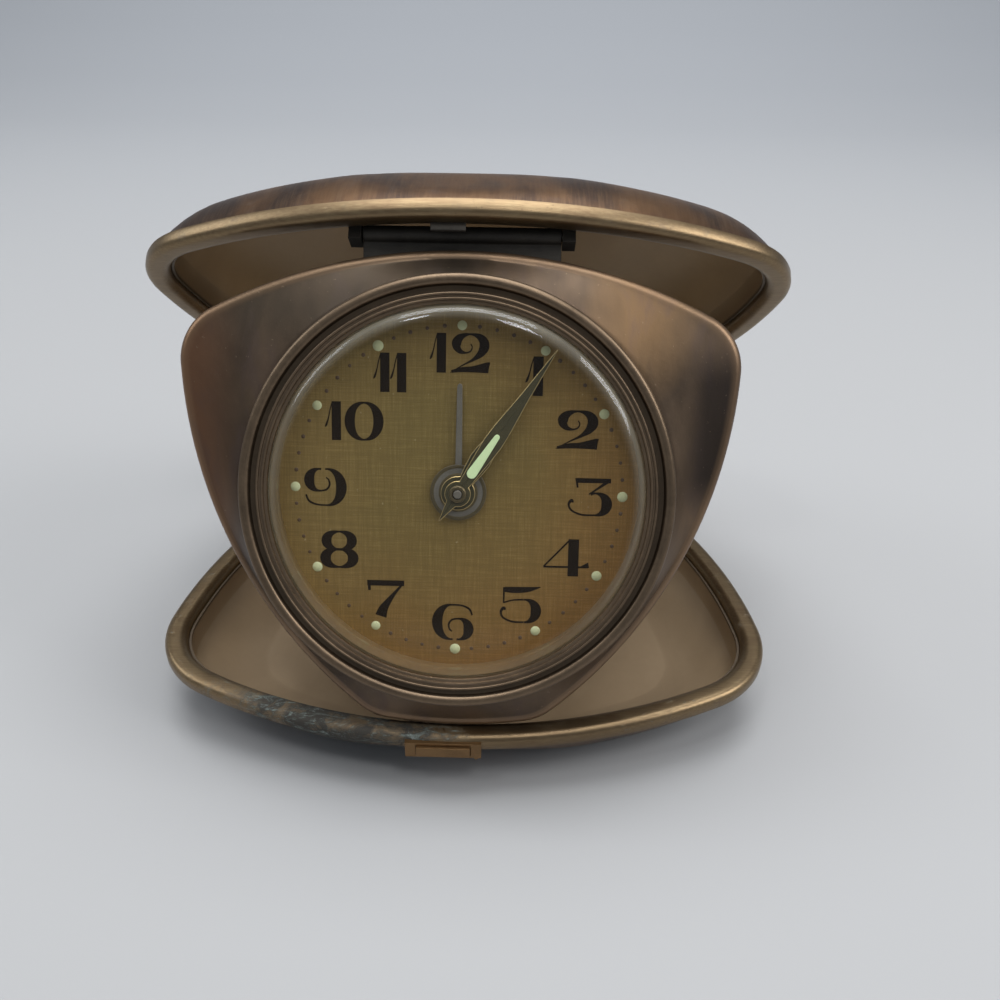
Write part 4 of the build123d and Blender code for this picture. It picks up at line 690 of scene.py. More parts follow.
class Workshop:
    merge_distance = 0.000002
    flat_turn = math.radians(0.5)
    crisp_turn = math.radians(35)

    @staticmethod
    def piece(name: str, points: Iterable[Vector], faces: list[Corners], place: Place,
              sharp_degrees: float = 40.0) -> bpy.types.Object:
        """Makes an object from millimetre points in a sub-assembly's frame.

        Args:
            name: the piece's name.
            points: its corners, in millimetres.
            faces: its faces as point numbers.
            place: the frame that the points are given in.
            sharp_degrees: the angle from which an edge stays crisp.

        Returns:
            The object, at the origin with its place in its mesh.
        """
        mesh = bpy.data.meshes.new(name)
        mesh.from_pydata([tuple(point) for point in points], [], faces)
        mesh.transform(Matrix.Scale(MM, 4) @ place.matrix())
        return Workshop.finished(name, mesh, sharp_degrees)

    @staticmethod
    def finished(name: str, mesh: bpy.types.Mesh, sharp_degrees: float) -> bpy.types.Object:
        """Merges, turns outwards and smooths a mesh and puts it in the scene.

        Args:
            name: the piece's name.
            mesh: its mesh, in metres and in place.
            sharp_degrees: the angle from which an edge stays crisp.

        Returns:
            The piece.
        """
        work = bmesh.new()
        work.from_mesh(mesh)
        bmesh.ops.remove_doubles(work, verts=work.verts, dist=Workshop.merge_distance)
        bmesh.ops.dissolve_degenerate(work, dist=Workshop.merge_distance / 4, edges=work.edges)
        bmesh.ops.recalc_face_normals(work, faces=work.faces)
        limit = math.radians(sharp_degrees)
        for face in work.faces:
            face.smooth = True
        for edge in work.edges:
            edge.smooth = len(edge.link_faces) != 2 or edge.calc_face_angle(0.0) < limit
        work.to_mesh(mesh)
        work.free()
        shown = bpy.data.objects.new(name, mesh)
        bpy.context.scene.collection.objects.link(shown)
        return shown

    @staticmethod
    def walls(rows: int, count: int, closed: bool = False) -> list[Corners]:
        """The faces between stacked rings of points.

        Args:
            rows: how many rings there are.
            count: how many points each has.
            closed: whether the last ring joins the first.

        Returns:
            The faces as point numbers.
        """
        faces = []
        for row in range(rows if closed else rows - 1):
            low, high = row * count, (row + 1) % rows * count
            for step in range(count):
                after = (step + 1) % count
                faces.append((low + step, low + after, high + after, high + step))
        return faces

    @staticmethod
    def rings(name: str, rings: Sequence[Ring], place: Place, closed: bool = False,
              sharp_degrees: float = 40.0) -> bpy.types.Object:
        """A skin through rings of equal count.

        Args:
            name: the piece's name.
            rings: closed rings of points, in millimetres.
            place: the frame that the points are given in.
            closed: whether the last ring joins the first, and otherwise both are filled by a fan.
            sharp_degrees: the angle from which an edge stays crisp.

        Returns:
            The piece.
        """
        count = len(rings[0])
        points = [point for ring in rings for point in ring]
        faces = Workshop.walls(len(rings), count, closed)
        for row in () if closed else (0, len(rings) - 1):
            faces += [(row * count + step, row * count + (step + 1) % count, len(points)) for step in range(count)]
            points.append(sum(rings[row], Vector()) / count)
        return Workshop.piece(name, points, faces, place, sharp_degrees)

    @staticmethod
    def lathe(name: str, profile: Outline, segments: int = 160) -> bpy.types.Object:
        """A turned piece about the dial's axis.

        Args:
            name: the piece's name.
            profile: radius and height round its section, in millimetres.
            segments: how many steps the turn has.

        Returns:
            The piece.
        """
        turns = [2 * math.pi * k / segments for k in range(segments)]
        rings = [[Vector((radius * math.cos(turn), radius * math.sin(turn), height)) for turn in turns]
                 for radius, height in profile]
        return Workshop.rings(name, rings, Place.HEAD, closed=True, sharp_degrees=32.0)

    @staticmethod
    def plate(name: str, outline: Outline, low: float, high: float, chamfer: float) -> bpy.types.Object:
        """A flat piece over the dial with its top edge chamfered.

        Args:
            name: the piece's name.
            outline: its outline, in millimetres.
            low: the level of its underside.
            high: the level of its top.
            chamfer: how far in the chamfer goes.

        Returns:
            The piece.
        """
        count = len(outline)
        levels = ((outline, low), (outline, high - chamfer * 0.6), (Workshop.shrunk(outline, chamfer), high))
        points = [Vector((x, y, level)) for edge, level in levels for x, y in edge]
        faces = Workshop.walls(len(levels), count)
        faces += [tuple(range(count)), tuple(range((len(levels) - 1) * count, len(points)))]
        return Workshop.piece(name, points, faces, Place.HEAD, 25.0)

    @staticmethod
    def shrunk(outline: Outline, step: float) -> Outline:
        """An outline moved inwards.

        Args:
            outline: the outline.
            step: how far each edge moves, in millimetres.

        Returns:
            The moved outline, with as many points.
        """
        corners = [Vector(point) for point in outline]
        following = corners[1:] + corners[:1]
        area = sum(here.x * after.y - after.x * here.y for here, after in zip(corners, following))
        side = 1.0 if area > 0 else -1.0
        moved = []
        for before, here, after in zip(corners[-1:] + corners[:-1], corners, following):
            first, second = (here - before).normalized(), (after - here).normalized()
            normal = Vector((-(first.y + second.y), first.x + second.x)) * side
            spread = max(0.35, (1 + first.dot(second)) / 2)
            moved.append(tuple(here + normal / (normal.length or 1.0) * step / math.sqrt(spread)))
        return moved

    @staticmethod
    def refined(node: str, name: str, edge: float = 0.0) -> bpy.types.Object:
        """A merged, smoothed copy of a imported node, with its crisp edges broken if asked.

        Args:
            node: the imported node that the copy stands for.
            name: the piece's name.
            edge: width of the broken edge, in millimetres.

        Returns:
            The piece, which replaces the node and rides on its body.
        """
        mesh = frame["nodes"][node].data.copy()
        if mesh.has_custom_normals:
            mesh.normals_split_custom_set([(0, 0, 0)] * len(mesh.loops))
        mesh.materials.clear()
        piece = Workshop.finished(name, mesh, 30.0)
        work = bmesh.new()
        work.from_mesh(piece.data)
        bmesh.ops.dissolve_limit(work, angle_limit=Workshop.flat_turn, verts=work.verts, edges=work.edges)
        if edge:
            crisp = [e for e in work.edges if len(e.link_faces) == 2 and e.calc_face_angle(0.0) > Workshop.crisp_turn]
            bmesh.ops.bevel(work, geom=crisp, offset=edge * MM, offset_type="OFFSET", segments=2, profile=0.5,
                            affect="EDGES", clamp_overlap=True)
            for face in work.faces:
                face.smooth = True
        work.to_mesh(piece.data)
        work.free()
        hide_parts(node)
        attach(piece, frame["nodes"][node]["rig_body"])
        return piece

    @staticmethod
    def opened(piece: bpy.types.Object, low: Vector, high: Vector) -> bpy.types.Object:
        """Cuts a square window through a closed piece.

        Args:
            piece: the piece.
            low: the window's lowest corner, in metres.
            high: its highest corner.

        Returns:
            The same piece with its mesh cut.
        """
        block = bmesh.new()
        bmesh.ops.create_cube(block, size=1.0)
        for corner in block.verts:
            corner.co = Vector((low[k] if corner.co[k] < 0 else high[k]) for k in range(3))
        mesh = bpy.data.meshes.new("window_block")
        block.to_mesh(mesh)
        block.free()
        cutter = bpy.data.objects.new("window_block", mesh)
        bpy.context.scene.collection.objects.link(cutter)
        cut = piece.modifiers.new("window", "BOOLEAN")
        cut.object, cut.operation, cut.solver = cutter, "DIFFERENCE", "EXACT"
        bpy.context.view_layer.update()
        held = piece.evaluated_get(bpy.context.evaluated_depsgraph_get())
        piece.data = bpy.data.meshes.new_from_object(held)
        piece.modifiers.clear()
        bpy.data.objects.remove(cutter)
        return piece

    @staticmethod
    def dressed(piece: bpy.types.Object, material: bpy.types.Material, body: str = "", slot: str = "",
                nodes: Sequence[str] = ()) -> bpy.types.Object:
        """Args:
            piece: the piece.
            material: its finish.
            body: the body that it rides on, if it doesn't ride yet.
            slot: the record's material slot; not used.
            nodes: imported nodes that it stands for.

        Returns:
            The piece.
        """
        piece.data.materials.clear()
        piece.data.materials.append(material)
        if nodes:
            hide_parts(*nodes)
        if body:
            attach(piece, body)
        LOG.info("%s: %d faces", piece.name, len(piece.data.polygons))
        return piece

    @staticmethod
    def recoat(node: str, material: bpy.types.Material) -> None:
        """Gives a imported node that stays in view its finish.

        Args:
            node: the node's name.
            material: its finish.
        """
        shown = frame["nodes"][node]
        if not shown.data.materials:
            shown.data.materials.append(material)
        for number in range(len(shown.data.materials)):
            shown.data.materials[number] = material
        LOG.info("%s: recoated", node)

    @staticmethod
    def refinished(nodes: Sequence[str], material: bpy.types.Material, slot: str, edge: float) -> None:
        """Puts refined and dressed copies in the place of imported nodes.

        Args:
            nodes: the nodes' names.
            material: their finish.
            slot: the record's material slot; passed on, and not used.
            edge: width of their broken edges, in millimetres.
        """
        for node in nodes:
            Workshop.dressed(Workshop.refined(node, node + "_piece", edge), material, slot=slot)


@dataclass(frozen=True)
class Marks:
    """Equal marks round a circle of the dial, in millimetres and shares."""

    count: int
    circle: float
    radius: float
    height: float
    sides: int
    narrowing: float
    unevenness: float
    skip: int = 0
    turn: float = 0.6


class Strewing:
    """A Geometry Nodes tree that sets marks round the dial, built once and read as a plain mesh."""

    def __init__(self, name: str, material: bpy.types.Material, marks: Marks) -> None:
        """Builds the tree with its named inputs.

        Args:
            name: the tree's name.
            material: the marks' finish.
            marks: how many marks there are, where and how large.
        """
        self.name = name
        self.marks = marks
        self.tree = bpy.data.node_groups.new(name, "GeometryNodeTree")
        self.values: dict[str, Union[int, float]] = {}
        self.tree.interface.new_socket(name="Geometry", in_out="OUTPUT", socket_type="NodeSocketGeometry")
        for label, kind, value in (("Count", "Int", marks.count), ("Circle Radius", "Float", marks.circle),
                                   ("Mark Radius", "Float", marks.radius), ("Mark Height", "Float", marks.height),
                                   ("Unevenness", "Float", marks.unevenness), ("Seed", "Int", 7)):
            self.input(label, "NodeSocket" + kind, value)
        self.nodes(material)

    def input(self, name: str, kind: str, value: Union[int, float]) -> None:
        """Adds a named input with its default.

        Args:
            name: the input's name.
            kind: its socket type.
            value: its default, which is also the value used.
        """
        socket = self.tree.interface.new_socket(name=name, in_out="INPUT", socket_type=kind)
        socket.default_value = value
        self.values[socket.identifier] = value

    def node(self, kind: str, settings: dict, inputs: dict) -> bpy.types.Node:
        """Adds a node with its settings, then its values and links.

        Args:
            kind: the node's type.
            settings: attributes by name.
            inputs: values or output sockets, by index or name.

        Returns:
            The node.
        """
        made = self.tree.nodes.new(kind)
        for key, value in settings.items():
            setattr(made, key, value)
        for key, value in inputs.items():
            if isinstance(value, bpy.types.NodeSocket):
                self.tree.links.new(value, made.inputs[key])
            else:
                made.inputs[key].default_value = value
        return made

    def maths(self, operation: str, first: Operand, second: Operand) -> bpy.types.NodeSocket:
        """One Math node on two values or sockets."""
        return self.node("ShaderNodeMath", {"operation": operation}, {0: first, 1: second}).outputs[0]

    def nodes(self, material: bpy.types.Material) -> None:
        """Lays the marks on the circle, leaves out the skipped ones and coats them.

        Args:
            material: the marks' finish.
        """
        given = self.node("NodeGroupInput", {}, {}).outputs
        circle = self.node("GeometryNodeMeshCircle", {}, {"Vertices": given["Count"], "Radius": given["Circle Radius"]})
        mark = self.node("GeometryNodeMeshCone", {"fill_type": "NGON"},
                         {"Vertices": self.marks.sides, "Radius Bottom": given["Mark Radius"],
                          "Radius Top": self.maths("MULTIPLY", given["Mark Radius"], 1.0 - self.marks.narrowing),
                          "Depth": given["Mark Height"]})
        size = self.node("FunctionNodeRandomValue", {"data_type": "FLOAT"},
                         {2: self.maths("SUBTRACT", 1.0, given["Unevenness"]),
                          3: self.maths("ADD", 1.0, given["Unevenness"]), "Seed": given["Seed"]})
        strewn = self.node("GeometryNodeInstanceOnPoints", {},
                           {"Points": circle.outputs[0], "Instance": mark.outputs[0], "Scale": size.outputs[1]})
        if self.marks.skip:
            number = self.node("GeometryNodeInputIndex", {}, {}).outputs[0]
            remainder = self.maths("MODULO", number, float(self.marks.skip))
            kept = self.node("FunctionNodeCompare", {"data_type": "INT", "operation": "NOT_EQUAL"}, {2: remainder})
            self.tree.links.new(kept.outputs[0], strewn.inputs["Selection"])
        real = self.node("GeometryNodeRealizeInstances", {}, {0: strewn.outputs[0]})
        coated = self.node("GeometryNodeSetMaterial", {}, {"Geometry": real.outputs[0], "Material": material})
        self.node("NodeGroupOutput", {}, {0: coated.outputs[0]})

    def plain(self, lift: float) -> bpy.types.Object:
        """Evaluates the tree.

        Args:
            lift: the level of the marks' feet over the dial's frame, in millimetres.

        Returns:
            The marks as one plain mesh object in place.
        """
        carrier = bpy.data.objects.new(self.name + "_tree", bpy.data.meshes.new(self.name + "_tree"))
        bpy.context.scene.collection.objects.link(carrier)
        modifier = carrier.modifiers.new(self.name, "NODES")
        modifier.node_group = self.tree
        for identifier, value in self.values.items():
            modifier[identifier] = value
        bpy.context.view_layer.update()
        held = carrier.evaluated_get(bpy.context.evaluated_depsgraph_get())
        mesh = bpy.data.meshes.new_from_object(held)
        bpy.data.objects.remove(carrier)
        mesh.transform(Matrix.Scale(MM, 4) @ Place.HEAD.matrix() @ Matrix.Translation((0, 0, lift))
                       @ Matrix.Rotation(-math.radians(self.marks.turn), 4, "Z"))
        return Workshop.finished(self.name, mesh, 50.0)


@dataclass(frozen=True)
class RoundedTriangle:
    """A plan of tangent arcs, wide side towards +Y, centred on X."""

    width: float
    front: float
    back: float
    wide_level: float
    front_radius: float
    side_radius: float
    back_radius: float
    corner: float
    back_corner: float

    def inset(self, step: float) -> "RoundedTriangle":
        """The parallel plan a step further in."""
        return RoundedTriangle(self.width - 2 * step, self.front - step, self.back - step, self.wide_level,
                               self.front_radius - step, self.side_radius - step, self.back_radius - step,
                               self.corner - step, self.back_corner - step)

    def spans(self) -> list[tuple[Vector, float, float, float]]:
        """The arcs of the right half.

        Returns:
            Centre, radius, first and last angle of each, from front to back.
        """
        front = (Vector((0, self.front - self.front_radius)), self.front_radius)
        side = (Vector((self.width / 2 - self.side_radius, self.wide_level)), self.side_radius)
        back = (Vector((0, self.back_radius - self.back)), self.back_radius)
        corner = (max(self._touching(front, side, self.corner), key=lambda point: point.x), self.corner)
        lower = (min(self._touching(back, side, self.back_corner), key=lambda point: point.y), self.back_corner)
        turns = [math.pi / 2, self._heading(front, corner), self._heading(side, corner), self._heading(side, lower),
                 self._heading(back, lower), -math.pi / 2]
        return [(*arc, *turns[k:k + 2]) for k, arc in enumerate((front, corner, side, lower, back))]

    @staticmethod
    def _touching(first: Arc, second: Arc, radius: float) -> tuple[Vector, Vector]:
        """Finds a circle that touches two larger ones from inside.

        Args:
            first: one large circle's centre and radius.
            second: the other's.
            radius: the circle's radius.

        Returns:
            The two places that its centre can have.
        """
        gap = second[0] - first[0]
        reach, other = first[1] - radius, second[1] - radius
        along = (reach ** 2 - other ** 2 + gap.length ** 2) / (2 * gap.length)
        unit = gap.normalized()
        middle = first[0] + unit * along
        side = Vector((-unit.y, unit.x)) * math.sqrt(max(reach ** 2 - along ** 2, 0.0))
        return middle + side, middle - side

    @staticmethod
    def _heading(large: Arc, small: Arc) -> float:
        """Direction from a large arc's centre to where the small one touches it."""
        step = small[0] - large[0]
        return math.atan2(step.y, step.x)

    def ring(self, height: float, share: float = 1.0, steps: Sequence[int] = (30, 16, 30, 14, 18)) -> Ring:
        """The plan as points, scaled about its centre.

        Args:
            height: the points' height.
            share: the scale.
            steps: how many steps each arc has.

        Returns:
            The closed ring.
        """
        right = []
        for (centre, radius, start, end), count in zip(self.spans(), steps):
            turns = [start + (end - start) * k / count for k in range(count)]
            right += [(centre.x + radius * math.cos(turn), centre.y + radius * math.sin(turn)) for turn in turns]
        right.append((0.0, -self.back))
        left = [(-x, y) for x, y in reversed(right[1:-1])]
        return [Vector((x * share, y * share, height)) for x, y in right + left]


# Sub-assemblies


@dataclass
class Shells:
    """The two pressed shells and their linings."""

    plan: RoundedTriangle = RoundedTriangle(84.0, 37.1, 38.4, 22.3, 74.8, 69.2, 60.0, 13.6, 15.0)
    crown: float = 10.9
    wall: float = 0.8
    band: float = 2.1
    lip_width: float = 3.1
    outer_round: float = 0.9
    inner_round: float = 1.2
    lip_flat: float = 0.3
    lip_edge: Outline = ((0.0, -0.45), (0.12, -0.12), (0.42, 0.0), (0.74, -0.02), (0.82, -0.1))
    step: float = 0.8
    dome_start: float = 1.7
    dome_foot: float = 0.35
    flat_share: float = 0.25
    flat_edge_share: float = 0.004
    pole_share: float = 0.02
    fullness: float = 7.2
    dome_rings: int = 26
    ring_crowding: float = 1.6
    brow_slope: float = 1.035
    brow_drop: float = 0.1
    brow_blend: float = 1.0
    lining: float = 0.3
    lining_gap: float = 0.05
    lining_drop: float = 1.3
    catch_travel: float = 1.6

    def _fall(self, share: float) -> float:
        """How far the dome has fallen at a share of the plan's size, from 0 at its crown to 1 at its foot."""
        return max(0.0, (share - self.flat_share) / (1 - self.flat_share)) ** self.fullness

    def _eased(self, ring: Ring, drop: float) -> Ring:
        """Keeps a ring under the slope that leaves the lip's front edge, so that the raised lid stays in its height.

        Args:
            ring: the ring.
            drop: how much lower the slope lies for it.

        Returns:
            The eased ring.
        """
        eased = []
        for point in ring:
            slope = self.band - self.brow_drop - drop + (self.plan.front - point.y) * self.brow_slope
            near = max(self.brow_blend - abs(point.z - slope), 0.0)
            eased.append(Vector((point.x, point.y, min(point.z, slope) - near * near / self.brow_blend / 4)))
        return eased

    def _dome(self, inset: float, start: float, ceiling: float, depth: float = 0.0) -> list[Ring]:
        """Rings of a dome from its foot to its crown.

        Args:
            inset: how far in its foot lies.
            start: the height of its foot.
            ceiling: the height that the outer dome is cut flat at.
            depth: how far inside the outer dome it runs.

        Returns:
            The rings.
        """
        plan, crown, ceiling = self.plan.inset(inset), self.crown - depth, ceiling - depth
        rings: list[Ring] = []
        before = 1.0
        for k in range(self.dome_rings + 1):
            share = 1 - (1 - self.pole_share) * (k / self.dome_rings) ** self.ring_crowding
            height = crown - (crown - start) * self._fall(share)
            if height > ceiling and rings and rings[-1][0].z < ceiling:
                below = rings[-1][0].z
                edge = before + (share - before) * (ceiling - below) / (height - below)
                rings += [plan.ring(ceiling, edge), plan.ring(ceiling, edge - self.flat_edge_share)]
            rings.append(plan.ring(min(height, ceiling), share))
            before = share
        return [self._eased(ring, depth * math.hypot(1.0, self.brow_slope)) for ring in rings]

    def _lip(self) -> list[Ring]:
        """The rounded lip.

        Returns:
            Its rings, from its inner foot to where the dome begins.
        """
        turns = [math.pi / 2 * k / 6 for k in range(7)]
        rings = [self.plan.inset(self.lip_width - self.inner_round * (1 - math.cos(turn))).ring(
            self.inner_round * (1 - math.sin(turn))) for turn in turns]
        rings.append(self.plan.inset(self.outer_round + self.lip_flat).ring(0.0))
        rings += [self.plan.inset(self.outer_round * (1 - math.sin(turn))).ring(
            self.outer_round * (1 - math.cos(turn))) for turn in turns]
        return rings + [self.plan.inset(inset).ring(self.band + height) for inset, height in self.lip_edge]

    def _inner_start(self, step: float) -> float:
        """Height of the inner dome at a step in from the rim."""
        share = 1 - (step - self.step) / (self.plan.width / 2 - self.step)
        return self.crown - (self.crown - self.dome_start) * self._fall(share) - self.wall

    def shell(self, name: str, place: Place, ceiling: float) -> bpy.types.Object:
        """One shell with its lip, step and dome, and its inside.

        Args:
            name: the piece's name.
            place: the shell's frame.
            ceiling: the height that its dome is cut flat at.

        Returns:
            The piece.
        """
        inside = self._dome(self.lip_width, self._inner_start(self.lip_width), ceiling, self.wall)
        outside = self._dome(self.step, self.dome_start + self.dome_foot, ceiling)
        return Workshop.rings(name, inside[::-1] + self._lip() + outside, place, sharp_degrees=38.0)

    def coat(self, name: str, place: Place, ceiling: float) -> bpy.types.Object:
        """The lining that follows a shell's inside.

        Args:
            name: the piece's name.
            place: the shell's frame.
            ceiling: the height that the shell's dome is cut flat at.

        Returns:
            The piece.
        """
        near = self.lip_width + self.lining_gap
        skins = []
        for thickness in (self.lining, 0.0):
            inset = near + thickness
            start = self._inner_start(near) - self.lining_gap - thickness
            skins.append([self.plan.inset(inset).ring(self.lining_drop)]
                         + self._dome(inset, start, ceiling, self.wall + self.lining_gap + thickness))
        return Workshop.rings(name, skins[0][::-1] + skins[1], place, sharp_degrees=50.0)

    def build(self) -> None:
        """Builds and dresses both shells and both linings."""
        low, high = (Vector(corner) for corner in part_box("catch_block"))
        high.y += self.catch_travel * MM
        # The base's brass is corroded and gets a painted shade on the front of its lip.
        brass = PressedBrass("base_brass", Place.BASE, corroded=True).material()
        pressing = Workshop.opened(self.shell("base_pressing", Place.BASE, RIM_HEIGHT), low, high)
        Workshop.dressed(pressing, brass, "base", "shell_brass", ["base_shell"])
        Workshop.dressed(self.shell("lid_pressing", Place.LID, self.crown),
                         PressedBrass("lid_brass", Place.LID).material(), "lid", "shell_brass", ["lid_shell"])
        beige = Lining("base_beige", Place.BASE).material()
        coat = Workshop.opened(self.coat("base_coat", Place.BASE, RIM_HEIGHT), low, high)
        Workshop.dressed(coat, beige, "base", "lining", ["base_lining"])
        # The lid's lining gets a painted shadow behind the head's hinge.
        hinge_shadowed = Lining("lid_beige", Place.LID, pale=(0.42, 0.30, 0.17), deep=(0.25, 0.17, 0.09), soot=0.95)
        Workshop.dressed(self.coat("lid_coat", Place.LID, self.crown), hinge_shadowed.material(), "lid", "lining",
                         ["lid_lining"])


@dataclass
class Fittings:
    """The case hinge, the catch and the head hinge."""

    broken_edge: float = 0.12
    brass: Colour = (0.33, 0.245, 0.13)
    brown: Colour = (0.12, 0.085, 0.05)

    def build(self) -> None:
        """Refines and dresses the small fittings."""
        gold = WornMetal("catch_gold", Place.BASE, (0.175, 0.102, 0.045), (0.028, 0.017, 0.009), rubbing=0.8)
        base_brass = WornMetal("hinge_brass_base", Place.BASE, self.brass, self.brown)
        lid_brass = WornMetal("hinge_brass_lid", Place.LID, self.brass, self.brown)
        steel = WornMetal("pin_steel", Place.BASE, (0.45, 0.44, 0.42), (0.22, 0.21, 0.20), roughness=0.25)
        black = WornMetal("black_steel", Place.LID, (0.075, 0.066, 0.055), (0.02, 0.018, 0.015), metallic=0.6,
                          roughness=0.45)
        coats = [finish.material() for finish in (gold, base_brass, lid_brass, steel, black)]
        for nodes, coat, slot in ((("catch_block", "catch_button", "catch_pin"), 0, "catch_brass"),
                                  (("base_hinge_knuckles",), 1, "shell_brass"),
                                  (("lid_hinge_knuckle",), 2, "shell_brass"),
                                  (("case_hinge_pin", "catch_spring"), 3, "steel"),
                                  (("lid_catch_lug", "head_hinge_bracket"), 4, "dark_steel"),
                                  (("head_hinge_pin",), 3, "steel"), (("head_hinge_leaf",), 4, "dark_steel")):
            Workshop.refinished(nodes, coats[coat], slot, self.broken_edge)


@dataclass
class HeadCase:
    """The drawn front of the clock head and its back cover."""

    plan: RoundedTriangle = RoundedTriangle(65.4, 28.0, 29.1, 17.2, 63.9, 57.1, 54.5, 6.9, 7.3)
    wall: float = 0.8
    skirt: float = 6.4
    edge_round: float = 1.0
    edge_steps: int = 8
    panel_steps: int = 14
    panel_swell: float = 1.12
    seat_radius: float = 25.3
    seat_height: float = 2.2
    mouth_radius: float = 23.2
    cover_edge: float = 0.15

    @staticmethod
    def _circle_at(ring: Ring, radius: float, height: float) -> Ring:
        """A circle whose points lie in the same directions as a ring's."""
        return [Vector((p.x, p.y, 0)).normalized() * radius + Vector((0, 0, height)) for p in ring]

    def _skin(self, depth: float) -> list[Ring]:
        """The skirt, its rounded edge and the panel up to the ring seat.

        Args:
            depth: how far inside the outer skin it runs.

        Returns:
            The rings, from the skirt's foot.
        """
        plan = self.plan.inset(depth)
        rings = [plan.ring(-self.skirt), plan.ring(-self.edge_round - depth)]
        for k in range(1, self.edge_steps):
            turn = math.pi / 2 * k / self.edge_steps
            rings.append(plan.inset(self.edge_round * (1 - math.cos(turn))).ring(
                -self.edge_round * (1 - math.sin(turn)) - depth))
        outline = plan.inset(self.edge_round).ring(-depth)
        circle = self._circle_at(outline, self.seat_radius - depth, self.seat_height - depth)
        for share in (k / self.panel_steps for k in range(self.panel_steps + 1)):
            lift = Vector((share, share, share ** self.panel_swell))
            rings.append([a + (b - a) * lift for a, b in zip(outline, circle)])
        return rings

    def panel(self) -> bpy.types.Object:
        """The front pressing.

        Returns:
            The piece, closed round its wall.
        """
        outer, inner = self._skin(0.0), self._skin(self.wall)
        mouth = self._circle_at(outer[-1], self.mouth_radius, self.seat_height)
        under = self._circle_at(outer[-1], self.mouth_radius, self.seat_height - self.wall)
        return Workshop.rings("head_pressing", outer + [mouth, under] + inner[::-1], Place.HEAD, closed=True,
                              sharp_degrees=35.0)

    def build(self) -> None:
        """Builds and dresses the head's case."""
        Workshop.dressed(self.panel(), SmokedCopper("smoked_copper").material(), "head", "head_copper", ["head_case"])
        cover = WornMetal("cover_brass", Place.HEAD, (0.36, 0.26, 0.13), (0.13, 0.09, 0.048), roughness=0.34)
        Workshop.refinished(("back_cover",), cover.material(), "head_copper", self.cover_edge)


